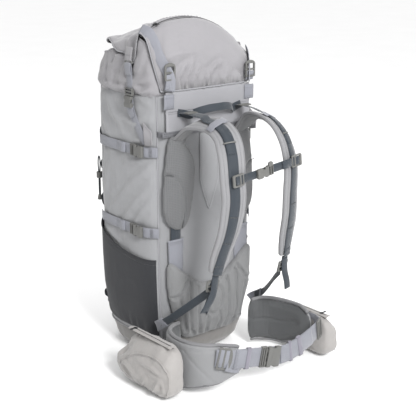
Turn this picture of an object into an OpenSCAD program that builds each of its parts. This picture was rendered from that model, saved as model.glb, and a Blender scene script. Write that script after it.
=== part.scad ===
// Large internal-frame hiking backpack, standing on its base.
// Origin: middle of the base. +Z up, the harness faces -Y, the wearer's left is +X.

/* [Packbag] */
// Half width of the packbag at its widest
bag_half_w = 165; // [155:1:172]
// Depth of the packbag behind the centre plane, harness side
bag_back = 146; // [144:1:149]
// Depth of the packbag in front of the centre plane
bag_front = 156; // [148:1:162]
// Height of the top of the sewn panels
panel_top = 690; // [685:1:694]
// Height of the top of the extension collar at the back and the front
collar_top = 772; // [750:1:776]
// Thickness of a padded packbag panel
wall = 4; // [3:0.5:5]
// Depth of the mouth of a bottle pocket
pocket_gap = 10; // [7:1:13]

/* [Lid] */
// Height of the crown of the lid
lid_top = 874; // [868:1:875]
// Lower edge of the lid at the back
lid_rear_edge = 706; // [703:1:712]
// Lower edge of the lid at the front
lid_edge = 782; // [780:1:790]
// Thickness of the lid
lid_wall = 5; // [4:0.5:6]

/* [Webbing] */
// Width of the compression, lid and shoulder webbing
web_w = 25; // [20:1:26]
// Thickness of all webbing
web_t = 1.6; // [1.2:0.1:1.8]
// Width of the hip belt webbing
hip_web_w = 48; // [40:1:50]

/* [Buckles] */
// Clearance between a buckle's plug and its socket
buckle_gap = 0.5; // [0.4:0.05:0.7]
// Depth to which the arms of a plug enter its socket
arm_l = 17; // [14:1:18]
// Thickness of a buckle socket
socket_t = 8; // [7.6:0.1:9]

/* [Harness] */
// Width of a shoulder strap
strap_w = 61; // [56:1:64]
// Thickness of a shoulder strap
strap_t = 13; // [10:1:14]
// Thickness of the pads on the back
pad_t = 15; // [12:1:17]

/* [Hip belt] */
// Thickness of a hip wing
wing_t = 15; // [12:1:16]
// Height of the lower edge of the hip belt
belt_low = 5; // [4:1:8]
// Height of the upper edge of the hip belt
belt_high = 134; // [125:1:138]

/* [Hidden] */
$fn = 32;

// Colours of the cloth, the webbing and the moulded parts
GREY = [0.69, 0.69, 0.68];
LIGHT = [0.75, 0.75, 0.74];
WARM = [0.66, 0.64, 0.62];
SLATE = [0.29, 0.30, 0.32];
MESH = [0.55, 0.56, 0.55];
NAVY = [0.33, 0.39, 0.45];
LILAC = [0.72, 0.72, 0.77];
HARD = [0.80, 0.80, 0.77];
BLACK = [0.12, 0.12, 0.13];
METAL = [0.75, 0.76, 0.78];

// Clearance between cloth parts that lie on each other
EASE = 0.3;
// Cut corner of padded bands and of webbing
PAD_CUT = 4;
WEB_CUT = 0.3;

// ---------------------------------------------------------------- curves and lofts

// Point at t between b and c of a smooth curve through a, b, c and d
function curve_point(a, b, c, d, t) =
    0.5 * (2 * b + (c - a) * t + (2 * a - 5 * b + 4 * c - d) * t * t
        + (3 * b - a - 3 * c + d) * t * t * t);

// Smooth curve through the points p, with n steps between neighbours
function curve(p, n) = [
    for (i = [0 : len(p) - 2], k = [0 : n - 1])
        curve_point(p[max(i - 1, 0)], p[i], p[i + 1], p[min(i + 2, len(p) - 1)], k / n),
    p[len(p) - 1]
];

function unit(v) = v / norm(v);
function lerp(a, b, t) = a + (b - a) * t;

// Direction of travel at point i of a path
function heading(p, i) = unit(p[min(i + 1, len(p) - 1)] - p[max(i - 1, 0)]);

// Rectangle w by t with cut corners, counterclockwise
function plate(w, t, c) = [
    [w / 2 - c, -t / 2], [w / 2, -t / 2 + c], [w / 2, t / 2 - c], [w / 2 - c, t / 2],
    [-w / 2 + c, t / 2], [-w / 2, t / 2 - c], [-w / 2, -t / 2 + c], [-w / 2 + c, -t / 2]
];

// Closed solid through equal rings of points, each counterclockwise as seen from the far end
module loft(rings) {
    m = len(rings[0]);
    n = len(rings);
    points = [for (r = rings, p = r) p];
    sides = [
        for (i = [0 : n - 2], j = [0 : m - 1])
            let (k = (j + 1) % m)
                each [[i * m + j, i * m + m + j, i * m + m + k], [i * m + j, i * m + m + k, i * m + k]]
    ];
    start_cap = [for (j = [1 : m - 2]) [0, j, j + 1]];
    end_cap = [for (j = [1 : m - 2]) [(n - 1) * m, (n - 1) * m + j + 1, (n - 1) * m + j]];
    polyhedron(points, concat(sides, start_cap, end_cap));
}

// Band along a path: across is its width direction, sizes gives [width, thickness] at each point
module band(path, across, sizes, cut) {
    loft([
        for (i = [0 : len(path) - 1])
            let (along = heading(path, i))
            let (wide = unit(across - along * (across * along)))
            let (out = cross(along, wide))
                [for (q = plate(sizes[i][0], sizes[i][1], cut)) path[i] + wide * q[0] + out * q[1]]
    ]);
}

// The same width and thickness at every point of a path
function even(path, w, t) = [for (p = path) [w, t]];

// Curved sheet between two grids of points, outer and inner: rows go up, columns counterclockwise
module sheet(outer, inner) {
    rows = len(outer);
    cols = len(outer[0]);
    all_rows = [for (r = outer, p = r) p];
    back_rows = [for (r = inner, p = r) p];
    n = rows * cols;
    faces = [
        for (i = [0 : rows - 2], j = [0 : cols - 2])
            let (a = i * cols + j, b = a + cols, c = b + 1, d = a + 1)
                each [[a, b, c], [a, c, d], [n + a, n + c, n + b], [n + a, n + d, n + c]]
    ];
    low_high = [
        for (j = [0 : cols - 2])
            let (a = j, b = j + 1, c = (rows - 1) * cols + j, d = c + 1)
                each [[a, b, n + b], [a, n + b, n + a], [c, n + d, d], [c, n + c, n + d]]
    ];
    ends = [
        for (i = [0 : rows - 2])
            let (a = i * cols, b = a + cols, c = a + cols - 1, d = c + cols)
                each [[a, n + a, n + b], [a, n + b, b], [c, d, n + d], [c, n + d, n + c]]
    ];
    polyhedron(concat(all_rows, back_rows), concat(faces, low_high, ends));
}

// Hollow ring or cup between two grids that close on themselves; a cup also has two poles
module ring_shell(outer, inner) {
    rows = len(outer);
    cols = len(outer[0]);
    n = rows * cols;
    points = concat([for (r = outer, p = r) p], [for (r = inner, p = r) p]);
    walls = [
        for (i = [0 : rows - 2], j = [0 : cols - 1])
            let (k = (j + 1) % cols)
            let (a = i * cols + j, b = a + cols, c = (i + 1) * cols + k, d = i * cols + k)
                each [[a, b, c], [a, c, d], [n + a, n + c, n + b], [n + a, n + d, n + c]]
    ];
    rims = [
        for (j = [0 : cols - 1])
            let (k = (j + 1) % cols, t = (rows - 1) * cols)
                each [[j, k, n + k], [j, n + k, n + j],
                    [t + j, n + t + k, t + k], [t + j, n + t + j, n + t + k]]
    ];
    polyhedron(points, concat(walls, rims));
}

// Cup closed by a pole above its last row; turn = 1 for a dome, -1 for a bowl
module cup(outer, outer_pole, inner, inner_pole, turn) {
    rows = len(outer);
    cols = len(outer[0]);
    n = rows * cols;
    points = concat([for (r = outer, p = r) p], [for (r = inner, p = r) p], [outer_pole, inner_pole]);
    walls = [
        for (i = [0 : rows - 2], j = [0 : cols - 1])
            let (k = (j + 1) % cols)
            let (a = i * cols + j, b = a + cols, c = (i + 1) * cols + k, d = i * cols + k)
                each [[a, b, c], [a, c, d], [n + a, n + c, n + b], [n + a, n + d, n + c]]
    ];
    rim = [for (j = [0 : cols - 1]) let (k = (j + 1) % cols) each [[j, k, n + k], [j, n + k, n + j]]];
    top = [
        for (j = [0 : cols - 1])
            let (k = (j + 1) % cols, t = (rows - 1) * cols)
                each [[t + j, 2 * n, t + k], [n + t + j, n + t + k, 2 * n + 1]]
    ];
    faces = concat(walls, rim, top);
    polyhedron(points, turn > 0 ? faces : [for (f = faces) [f[0], f[2], f[1]]]);
}

// ---------------------------------------------------------------- packbag

// Half width and depths of the packbag at height z, as shares of the driving sizes
WIDTH_SHARE = [[0, 0.66], [8, 0.76], [25, 0.85], [60, 0.91], [100, 0.945], [170, 0.985], [250, 1],
    [700, 1], [780, 0.97]];
BACK_SHARE = [[0, 0.70], [8, 0.80], [25, 0.89], [60, 0.94], [100, 0.97], [170, 1], [700, 1], [780, 0.96]];
FRONT_SHARE = [[0, 0.62], [8, 0.72], [25, 0.82], [60, 0.90], [100, 0.95], [170, 1], [700, 1], [780, 0.96]];
// Squareness of the outline behind and in front of the centre plane
BACK_SQUARE = 5;
FRONT_SQUARE = 3;

function power(v, square) = sign(v) * pow(abs(v), 2 / square);

// Point of the packbag's outline at height z and angle a (-90 is the back), moved out by d
function bag_point(z, a, d) =
    let (square = sin(a) < 0 ? BACK_SQUARE : FRONT_SQUARE)
    let (depth = sin(a) < 0 ? bag_back * lookup(z, BACK_SHARE) : bag_front * lookup(z, FRONT_SHARE))
        [(bag_half_w * lookup(z, WIDTH_SHARE) + d) * power(cos(a), square),
            (depth + d) * power(sin(a), square), z];

// Heights of the rows of the sewn panels, from just above the bottom panel
PANEL_ROWS = [70.3, 100, 135, 170, 210, 250, 340, 430, 520, 610, panel_top];
SEAM = 0.3;

module panel(a_from, a_to) {
    angles = [for (k = [0 : 12]) a_from + SEAM + (a_to - a_from - 2 * SEAM) * k / 12];
    sheet([for (z = PANEL_ROWS) [for (a = angles) bag_point(z, a, 0)]],
        [for (z = PANEL_ROWS) [for (a = angles) bag_point(z, a, -wall)]]);
}

module back_panel() {
    color(GREY) panel(-135, -45);
}

module front_panel() {
    color(GREY) panel(45, 135);
}

module side_panel(side) {
    color(GREY) if (side > 0) panel(-45, 45);
    else panel(135, 225);
}

ROUND = [for (k = [0 : 47]) k * 7.5];

module bottom_panel() {
    rows = [70, 45, 25, 12, 5, 0];
    color(WARM)
        cup([for (z = rows) [for (a = ROUND) bag_point(z, a, 0)]], [0, 0, 0],
            [for (z = rows) [for (a = ROUND) bag_point(z, a, -wall) + [0, 0, (70 - z) / 70 * wall]]],
            [0, 0, wall], -1);
}

// Angle of a point of the outline past the side plane: -90 is the back, 90 is the front
function turn(a) = asin(sin(a));

// How far the collar rises above collar_top on the right side, where gear bulges behind the lid's flap
COLLAR_RISE = [[-90, 0], [-45, 8], [-30, 44], [-15, 58], [-7.5, 50], [0, 28], [20, 12], [60, 0]];
LEFT_COLLAR_DIP = 8;
COLLAR_LEAN = 0.09;
COLLAR_INSET = 4;
COLLAR_T = 2.5;

// Row of the collar at share s of its height, moved in by d
function collar_row(s, d) = [
    for (a = ROUND)
        let (rise = cos(a) < 0 ? lookup(turn(a), COLLAR_RISE) : -LEFT_COLLAR_DIP * cos(a))
        let (z = lerp(panel_top + SEAM, collar_top + rise, s))
            bag_point(z, a, -COLLAR_INSET - (z - panel_top) * COLLAR_LEAN - d)
];

module extension_collar() {
    steps = 6;
    color(LIGHT)
        ring_shell([for (k = [0 : steps]) collar_row(k / steps, 0)],
            [for (k = [0 : steps]) collar_row(k / steps, COLLAR_T)]);
}

// Drawcord lying inside the collar
module collar_cord() {
    color(NAVY)
        translate([0, 0, collar_top - 12])
            linear_extrude(4)
                difference() {
                    polygon([for (a = ROUND) let (p = bag_point(collar_top, a, -17)) [p[0], p[1]]]);
                    polygon([for (a = ROUND) let (p = bag_point(collar_top, a, -21)) [p[0], p[1]]]);
                }
}

// Plane inside the back panel where the framesheet and the stays meet
FRAME_Y = -bag_back + 10;

module framesheet() {
    color(BLACK)
        translate([0, FRAME_Y, 0])
            rotate([90, 0, 0])
                linear_extrude(2)
                    hull() for (x = [-80, 80], z = [192, 640]) translate([x, z]) circle(r = 18);
}

module frame_stays() {
    color(METAL)
        for (x = [-55, 55])
            translate([x - 7.5, FRAME_Y, 180]) cube([15, 4, 470]);
}

// ---------------------------------------------------------------- pockets

// Upper edge of a bottle pocket: higher towards the front of the pack
function pocket_edge(share) = 284 + 62 * share * share;

// Angle to which a bottle pocket wraps around the front corner
POCKET_TURN = 47;

// Stretch pocket around a lower side corner; side = 1 left, -1 right
module bottle_pocket(side) {
    rows = 8;
    cols = 12;
    grid = function(thick) [
        for (i = [0 : rows])
            [for (j = [0 : cols])
                let (share = side > 0 ? j / cols : 1 - j / cols)
                let (a = side > 0 ? lerp(-40, POCKET_TURN, j / cols) : lerp(180 - POCKET_TURN, 220, j / cols))
                let (z = lerp(80, pocket_edge(share), i / rows))
                let (swell = pow(sin(180 * j / cols), 0.7) * pow(sin(90 * i / rows), 0.6))
                    bag_point(z, a, 1.2 + pocket_gap * swell + thick)]
    ];
    color(SLATE) sheet(grid(1.6), grid(0));
}

// Patch over the front panel from z0 to z1, between two angles, from d0 to d1 off the cloth
module front_layer(z0, z1, a0, a1, d0, d1) {
    rows = [for (k = [0 : 7]) lerp(z0, z1, k / 7)];
    angles = [for (k = [0 : 12]) lerp(a0, a1, k / 12)];
    sheet([for (z = rows) [for (a = angles) bag_point(z, a, d1)]],
        [for (z = rows) [for (a = angles) bag_point(z, a, d0)]]);
}

// Flat bellows pocket on the front panel, closed by a zip near its top
module front_pocket() {
    color(LIGHT) {
        front_layer(120, 438, 64, 116, 1, 14);
        front_layer(446, 476, 64, 116, 1, 14);
        front_layer(438.5, 445.5, 64, 116, 1, 12);
    }
}

// ---------------------------------------------------------------- straps on the packbag

CHAIN_X = 112;
CHAIN_TURN = 28;
CHAIN_LOOPS = [[250, 40], [310, 46], [384, 52], [478, 42], [562, 54]];

// Front of the packbag at distance x from the middle and height z
CORNER_Z = 400;
function front_y(x, z) = bag_front * lookup(z, FRONT_SHARE)
    * pow(1 - pow(x / (bag_half_w * lookup(z, WIDTH_SHARE)), FRONT_SQUARE), 1 / FRONT_SQUARE);

// Places its children on a front corner of the packbag at height z, with Y pointing off the cloth
module on_corner(side, z) {
    translate([side * CHAIN_X, front_y(CHAIN_X, CORNER_Z), z]) rotate([0, 0, -side * CHAIN_TURN]) children();
}

// Webbing loop that stands off the cloth: w wide, h high, d deep
module web_loop(w, h, d) {
    difference() {
        translate([-w / 2, 4, -h / 2]) cube([w, d, h]);
        translate([-w / 2 - 1, 4 + web_t, -h / 2 + web_t]) cube([w + 2, d - 2 * web_t, h - 2 * web_t]);
    }
}

module daisy_chains() {
    color(NAVY)
        for (side = [-1, 1]) {
            for (row = CHAIN_LOOPS) on_corner(side, row[0]) web_loop(18, row[1], 11);
            on_corner(side, 118) web_loop(18, 34, 13);
        }
}

// Elastic cord on each front corner that holds a tool shaft, with a moulded end
CORD_R = 1.6;
CORD_GAP = 3;
CORD_OFF = 24;
CORD_LOW = 392;
CORD_HIGH = 490;

module tool_cords() {
    color(BLACK)
        for (side = [-1, 1])
            on_corner(side, 0)
                translate([0, CORD_OFF, 0]) {
                    for (x = [-CORD_GAP, CORD_GAP])
                        translate([x, 0, CORD_LOW]) cylinder(h = CORD_HIGH - CORD_LOW, r = CORD_R);
                    translate([0, 0, CORD_HIGH])
                        rotate([90, 0, 0])
                            rotate_extrude(angle = 180) translate([CORD_GAP, 0]) circle(r = CORD_R);
                    translate([0, 0, CORD_LOW - 14]) cylinder(h = 14, r = 5.5);
                }
}

// Barrel that grips the two strands of a tool cord
LOCK_Z = 446;

module cord_lock(side) {
    color(HARD)
        on_corner(side, 0)
            translate([0, CORD_OFF, LOCK_Z - 8])
                difference() {
                    cylinder(h = 16, r = 8);
                    translate([0, 0, -1]) cylinder(h = 18, r = CORD_GAP + CORD_R + 0.5);
                }
}

// Heights of the points of a bottom strap, and the angles at which the straps leave the front panel
BOTTOM_STRAP_ROWS = [86, 70, 56, 42, 28, 18, 11];
BOTTOM_STRAPS = [56, 65, 115, 124];

module bottom_straps() {
    color(SLATE)
        for (a = BOTTOM_STRAPS) {
            path = [for (z = BOTTOM_STRAP_ROWS) bag_point(z, a, 5.4)];
            band(path, [1, 0, 0], even(path, 15, web_t), WEB_CUT);
        }
}

// ---------------------------------------------------------------- buckles

// A side-release buckle lies along +X: plug at -X, width along Y, and Z points away from the bag.
// Its webbing runs through the bridge under the plug, and under the body of the socket.
BRIDGE_T = 1.2;
WEB_Z = 2.6;
ARM_Z = 4.8;
ARM_T = 3;
PLUG_L = 18;
SOCKET_L = 32;

module socket(w, l, depth) {
    low = WEB_Z + web_t / 2 + 0.3;
    difference() {
        translate([0, -w / 2 - 2, low]) cube([l, w + 4, socket_t]);
        translate([-1, -w / 2 + 2, ARM_Z - buckle_gap]) cube([depth + 3, w - 4, ARM_T + 2 * buckle_gap]);
        for (s = [-1, 1])
            translate([depth / 2, s * (w / 2 + 2) - 5, ARM_Z - buckle_gap])
                cube([depth / 2 - 1, 10, ARM_T + 2 * buckle_gap]);
    }
}

module plug(w, depth) {
    arm_w = w / 5;
    top = ARM_Z + ARM_T;
    slot_low = WEB_Z - web_t / 2 - 0.4;
    slot_high = WEB_Z + web_t / 2 + 0.4;
    difference() {
        translate([-PLUG_L - 1, -w / 2 - 2, slot_low - BRIDGE_T])
            cube([PLUG_L, w + 4, top - slot_low + BRIDGE_T]);
        translate([-PLUG_L - 2, -w / 2 - 0.5, slot_low]) cube([PLUG_L + 2, w + 1, slot_high - slot_low]);
    }
    for (s = [-1, 1])
        translate([-2, s * (w / 2 - 2 - buckle_gap - arm_w / 2) - arm_w / 2, ARM_Z])
            cube([depth + 2, arm_w, ARM_T]);
    translate([-2, -2, ARM_Z]) cube([depth, 4, ARM_T]);
}

// Straight webbing of a buckle from x0 to x1
module buckle_web(x0, x1, w) {
    translate([x0, -w / 2, WEB_Z - web_t / 2]) cube([x1 - x0, w, web_t]);
}

// ---------------------------------------------------------------- compression straps

// Each row of side straps: height, and the place of the buckle's mouth along Y
SIDE_ROWS = [[559, -74], [356, -66]];
SIDE_X = bag_half_w + 0.5;

// Side of the packbag: X runs to the back, Z away from the cloth; side = 1 left, -1 right
module on_side(side, y, z) {
    multmatrix([[0, 0, side, side * SIDE_X], [-1, 0, 0, y], [0, -side, 0, z], [0, 0, 0, 1]]) children();
}

module compression_webbing() {
    x = SIDE_X + WEB_Z;
    front = [[x - 9, 92], [x - 3, 62], [x, 30], [x, -18]];
    color(LILAC)
        for (side = [-1, 1], row = SIDE_ROWS) {
            y = row[1];
            run = concat(curve(front, 3), [[x, y + 5]]);
            rear = curve([[x, y - 4], [x, y - 26], [x - 4, -112], [x - 18, -130]], 3);
            for (p = [run, rear])
                band([for (q = p) [side * q[0], q[1], row[0]]], [0, 0, 1], even(p, web_w, web_t), WEB_CUT);
        }
}

module compression_sockets() {
    color(HARD)
        for (side = [-1, 1], row = SIDE_ROWS) on_side(side, row[1], row[0]) socket(web_w, SOCKET_L, arm_l);
}

module compression_plug(side, row) {
    color(HARD) on_side(side, row[1], row[0]) plug(web_w, arm_l);
}

// ---------------------------------------------------------------- back system

BACK_Y = -bag_back - EASE;

// Layer on the back: an outline in X and Z, from d0 to d1 off the back panel
module back_layer(d0, d1) {
    translate([0, BACK_Y - d0, 0]) rotate([90, 0, 0]) linear_extrude(d1 - d0) children();
}

module yoke_panel() {
    color(LIGHT)
        back_layer(0, 5)
            hull() for (x = [-126, 126], z = [608, 680]) translate([x, z]) circle(r = 6);
}

module torso_pad(side) {
    color(MESH)
        back_layer(0.3, pad_t)
            hull() {
                translate([side * 106, 578]) circle(r = 22);
                translate([side * 74, 520]) circle(r = 30);
                translate([side * 112, 400]) circle(r = 30);
                translate([side * 90, 388]) circle(r = 28);
            }
}

module centre_flap() {
    color(GREY)
        back_layer(0.3, 6)
            polygon([[-30, 596], [30, 596], [30, 470], [4, 396], [-4, 396], [-30, 470]]);
}

module torso_webbing() {
    color(NAVY)
        for (x = [-106, 106])
            translate([x, 0, 0]) back_layer(0.3, 0.3 + web_t) translate([-15, 334]) square([30, 20]);
}

module torso_sleeves() {
    color(LILAC)
        for (x = [-106, 106])
            translate([x, 0, 0]) back_layer(0.3, 3) translate([-24, 287]) square([48, 46]);
}

// Half outline of the lumbar pad: a dip in the middle of its upper edge, wings that run down to the belt
LUMBAR_HALF = [[0, 206], [30, 210], [84, 246], [124, 282], [136, 274], [138, 232], [126, 168],
    [106, 104], [88, 70], [0, 64]];

module lumbar_pad() {
    half = curve(LUMBAR_HALF, 3);
    last = len(half) - 1;
    color(MESH)
        back_layer(0.3, 21)
            polygon(concat(half, [for (i = [last - 1 : -1 : 1]) [-half[i][0], half[i][1]]]));
}

// Grab handle that hangs out from the top of the yoke
HAUL_X = 60;
HAUL_Y = -165;
HAUL_Z = 650;

module haul_loop() {
    path = curve([[-HAUL_X, HAUL_Y, HAUL_Z], [-44, -176, 657], [0, -184, 661], [44, -176, 657],
        [HAUL_X, HAUL_Y, HAUL_Z]], 4);
    color(NAVY) band(path, [0, 0.35, 1], even(path, 19, 3), 0.5);
}

// ---------------------------------------------------------------- shoulder harness

// Middle line of a shoulder strap, from its root at the yoke to its lower end
STRAP_PATH = [[97, -165, 600], [90, -205, 630], [80, -257, 637], [80, -304, 620], [87, -332, 580],
    [92, -344, 526], [90, -346, 470], [96, -338, 405], [105, -320, 345], [112, -306, 292]];
STRAP_STEPS = 3;
STRAP_TURN = 0.3;
STRAP_ROLL = 0.4;
STRAP_WEB_W = 25;
STRAP_WEB_OFF = 1.9;
STRAP_SHARES = [[0, 0.62], [0.15, 0.85], [0.4, 1], [0.7, 0.95], [0.93, 0.8], [1, 0.6]];

function mirrored(path, side) = [for (p = path) [side * p[0], p[1], p[2]]];
function strap_line(side) = curve(mirrored(STRAP_PATH, side), STRAP_STEPS);

// Width direction of a shoulder strap: it turns towards the neck in front and falls outwards on the shoulder
function strap_across(side) = [1, STRAP_TURN * side, -STRAP_ROLL * side];

module shoulder_strap(side) {
    path = strap_line(side);
    last = len(path) - 1;
    sizes = [for (i = [0 : last]) [strap_w * lookup(i / last, STRAP_SHARES), strap_t]];
    color(GREY) band(path, strap_across(side), sizes, PAD_CUT);
}

// Path moved off the outer face of a shoulder strap by d
function off_strap(path, side, d) = [
    for (i = [0 : len(path) - 1])
        let (along = heading(path, i), a = strap_across(side))
        let (wide = unit(a - along * (a * along)))
            path[i] + cross(along, wide) * d
];

// Webbing sewn along the outer face of each shoulder strap
module strap_webbing() {
    color(NAVY)
        for (side = [-1, 1]) {
            path = off_strap(strap_line(side), side, strap_t / 2 + STRAP_WEB_OFF);
            run = [for (i = [9 : len(path) - 3]) path[i]];
            band(run, strap_across(side), even(run, STRAP_WEB_W, web_t), WEB_CUT);
        }
}

// Load lifters: from the top of the yoke to the shoulder of each strap
module load_lifters() {
    color(NAVY)
        for (side = [-1, 1]) {
            run = curve([[side * 88, -157, 653], [side * 84, -200, 654], [side * 80, -244, 655]], 3);
            band(run, [1, 0, 0], even(run, 20, web_t), WEB_CUT);
        }
}

// Flat adjuster with two slots
module slotted_link(w, l, t, bar) {
    slot = (l - 3 * bar) / 2;
    difference() {
        cube([w, l, t], center = true);
        for (s = [-1, 1])
            translate([0, s * (slot + bar) / 2, 0]) cube([w - 2 * bar, slot, t + 1], center = true);
    }
}

module harness_adjusters() {
    color(HARD)
        for (side = [-1, 1]) {
            translate([side * 85.5, -184, 656.6]) rotate([-1.5, 0, 0]) slotted_link(30, 18, 3, 3);
            translate([side * 114.5, -299, 261]) rotate([104, 0, side * 8]) slotted_link(34, 30, 5, 4.5);
        }
}

// Webbing from each lower adjuster to the foot of the side seam, with its hanging tail
LOWER_PATH = [[117, -289, 242], [125, -262, 218], [146, -216, 176], [160, -178, 144], [162, -146, 126]];
TAIL_PATH = [[118, -305, 241], [122, -307, 218], [125, -302, 190]];

module lower_webbing() {
    color(NAVY)
        for (side = [-1, 1]) {
            run = curve(mirrored(LOWER_PATH, side), 3);
            tail = curve(mirrored(TAIL_PATH, side), 2);
            band(run, [0.35 * side, 0, 1], even(run, 20, web_t), WEB_CUT);
            band(tail, [1, 0, 0], even(tail, 20, web_t), WEB_CUT);
        }
}

// ---------------------------------------------------------------- sternum strap

STERNUM_L = [92, -363, 547];
STERNUM_R = [-92, -363, 527];
STERNUM_W = 20;
STERNUM_MOUTH = -6;

// Frame of the sternum strap: X runs along it to the wearer's left, Z away from the chest
module on_sternum(x) {
    along = unit(STERNUM_L - STERNUM_R);
    translate((STERNUM_L + STERNUM_R) / 2)
        rotate([0, -asin(along[2]), 0])
            rotate([90, 0, 0])
                translate([x, 0, -WEB_Z]) children();
}

// Frame of the sternum buckle: its plug comes from the wearer's left
module on_sternum_buckle() {
    on_sternum(STERNUM_MOUTH) rotate([0, 0, 180]) children();
}

// Sliders that hold the ends of the sternum strap to the shoulder webbing
module sternum_sliders() {
    color(HARD)
        for (s = [-1, 1])
            on_sternum(s * 92)
                translate([0, 0, WEB_Z])
                    difference() {
                        cube([32, 30, 5], center = true);
                        translate([-s * 10, 0, 0]) cube([5, 22, 6], center = true);
                        translate([s * 3, 0, 0]) cube([14, 22, 6], center = true);
                    }
}

module sternum_webbing() {
    color(NAVY) {
        on_sternum(0) buckle_web(-75, STERNUM_MOUTH - 4, STERNUM_W);
        on_sternum(0) buckle_web(STERNUM_MOUTH + 4, 75, STERNUM_W);
    }
}

module sternum_socket() {
    color(HARD) on_sternum_buckle() socket(STERNUM_W, SOCKET_L, arm_l);
}

// Sternum plug with a whistle moulded on its top edge
module sternum_plug() {
    color(HARD)
        on_sternum_buckle() {
            plug(STERNUM_W, arm_l);
            translate([-PLUG_L - 1, -STERNUM_W / 2 - 9, ARM_Z - 2]) cube([PLUG_L - 4, 8, 5]);
        }
}

// ---------------------------------------------------------------- hip belt

BELT_MID = (belt_low + belt_high) / 2;
BELT_H = belt_high - belt_low;

// Middle lines of the hip wings in plan; the right wing hangs further round to the front
WING_LEFT = [[112, -176], [140, -181], [166, -202], [181, -240], [188, -285], [186, -332]];
WING_RIGHT = [[-112, -176], [-144, -184], [-174, -208], [-190, -252], [-184, -302], [-156, -341],
    [-118, -361], [-82, -369]];
WING_SHARES = [[0, 0.92], [0.2, 1], [0.5, 1], [0.8, 0.82], [1, 0.5]];
WING_RISE = [[0, 0], [0.5, 0], [1, 18]];

module hip_wing(plan) {
    flat = curve(plan, 3);
    last = len(flat) - 1;
    path = [for (i = [0 : last]) [flat[i][0], flat[i][1], BELT_MID + 4 + lookup(i / last, WING_RISE)]];
    sizes = [for (i = [0 : last]) [(BELT_H - 8) * lookup(i / last, WING_SHARES), wing_t]];
    color(MESH) band(path, [0, 0, 1], sizes, PAD_CUT);
}

// Low and high corners of the zip pockets on the hip wings
POCKET_LEFT = [[199, -376, 6], [248, -214, 112]];
POCKET_RIGHT = [[-270, -318, 6], [-206, -122, 136]];
POCKET_R = 16;

module hip_pocket(low_high) {
    low = low_high[0];
    high = low_high[1];
    color(LIGHT)
        hull()
            for (x = [low[0] + POCKET_R, high[0] - POCKET_R], y = [low[1] + POCKET_R, high[1] - POCKET_R],
                z = [low[2] + POCKET_R, high[2] - POCKET_R])
                translate([x, y, z]) sphere(r = POCKET_R, $fn = 20);
}

// Zip along the top of each hip pocket
ZIP_T = 1.5;

function pocket_x(low_high) = (low_high[0][0] + low_high[1][0]) / 2;

module hip_zips() {
    color(BLACK)
        for (p = [POCKET_LEFT, POCKET_RIGHT])
            translate([pocket_x(p) - 4, p[0][1] + 22, p[1][2] + 0.1])
                cube([8, p[1][1] - p[0][1] - 44, ZIP_T]);
}

// Zip slider with its pull hanging flat to the side
module zip_slider(side) {
    translate([-4, -5, 0.4]) cube([8, 10, 3]);
    translate([side > 0 ? 3 : -17, -3, 1.4]) cube([14, 6, 2]);
}

module hip_zip_slider(side, p, y) {
    color(BLACK) translate([pocket_x(p), y, p[1][2] + 0.1 + ZIP_T]) zip_slider(side);
}

// Hip buckle: X runs to the wearer's left, Z away from the belly
HIP_Z = 79;
HIP_TILT = 12;
HIP_Y = -382;
HIP_MOUTH = -16;
HIP_ARM = 26;
HIP_SOCKET_L = 42;
HIP_TRAVEL = 35;

module on_hip() {
    translate([HIP_MOUTH, HIP_Y + WEB_Z, HIP_Z])
        rotate([0, HIP_TILT, 0])
            rotate([90, 0, 0]) children();
}

// Middle line of the webbing from the socket to the tip of the left wing
HIP_LEFT_PATH = [[-11, HIP_Y, 78], [25, HIP_Y, 70.3], [52, HIP_Y, 68], [96, -381, 75], [150, -376, 89],
    [180, -366, 96], [193, -347, 98]];

module hip_webbing_left() {
    path = curve(HIP_LEFT_PATH, 3);
    color(LILAC) band(path, [0, 0, 1], even(path, hip_web_w, web_t), WEB_CUT);
}

// Straight webbing from the plug to the ladder lock on the right wing
module hip_webbing_right() {
    color(LILAC) on_hip() buckle_web(-PLUG_L - HIP_TRAVEL - 50, -4, hip_web_w);
}

// Ladder locks that hold the belt webbing on the tips of the wings
module hip_ladder_lock(place, turn, tilt, l) {
    translate(place)
        rotate([0, 0, turn])
            rotate([0, tilt, 0])
                rotate([90, 0, 0])
                    rotate([0, 0, 90]) slotted_link(hip_web_w + 8, l, 4, 5);
}

module hip_ladder_locks() {
    color(HARD) {
        hip_ladder_lock([-138, -373, 104], -28, HIP_TILT, 34);
        hip_ladder_lock([179, -372, 96], 24, -13, 26);
    }
}

module hip_socket() {
    color(HARD) on_hip() socket(hip_web_w, HIP_SOCKET_L, HIP_ARM);
}

module hip_plug() {
    color(HARD) on_hip() plug(hip_web_w, HIP_ARM);
}

// ---------------------------------------------------------------- lid

LID_OUT = 3;
LID_POWER = 4;
LID_STEPS = 10;

// Lower edge of the lid above lid_edge. On the right a notch shows the collar, a flap that ends in a
// point hangs in front of it, and the front corner is raised. The left side hangs lower.
RIGHT_EDGE = [[-30, 42], [-22.5, 56], [-15, 54], [-7.5, -14], [0, 8], [18, 32], [45, 18], [90, 0]];
LEFT_EDGE = [[-30, -40], [0, -24], [45, -4], [90, 0]];
NOTCH_TURN = -30;
REAR_TURN = -52.5;

function lid_rim(a) =
    let (t = turn(a), down = min(1, max(0, (t - NOTCH_TURN) / (REAR_TURN - NOTCH_TURN))))
        lerp(lid_edge + lookup(t, cos(a) < 0 ? RIGHT_EDGE : LEFT_EDGE), lid_rear_edge, down);

// The crown falls to the front, and to the left, where less gear is under it
LID_DROP = [[-160, 0], [-60, 0], [0, 13], [40, 28], [110, 50], [160, 62]];
LID_FALL = [[-165, 30], [-130, 11], [-90, 0], [0, 0], [50, 16], [85, 36], [121, 58], [165, 84]];
FALL_SHARE = [[-60, 1], [80, 0.25]];
LID_LEAST = 8;

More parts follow.
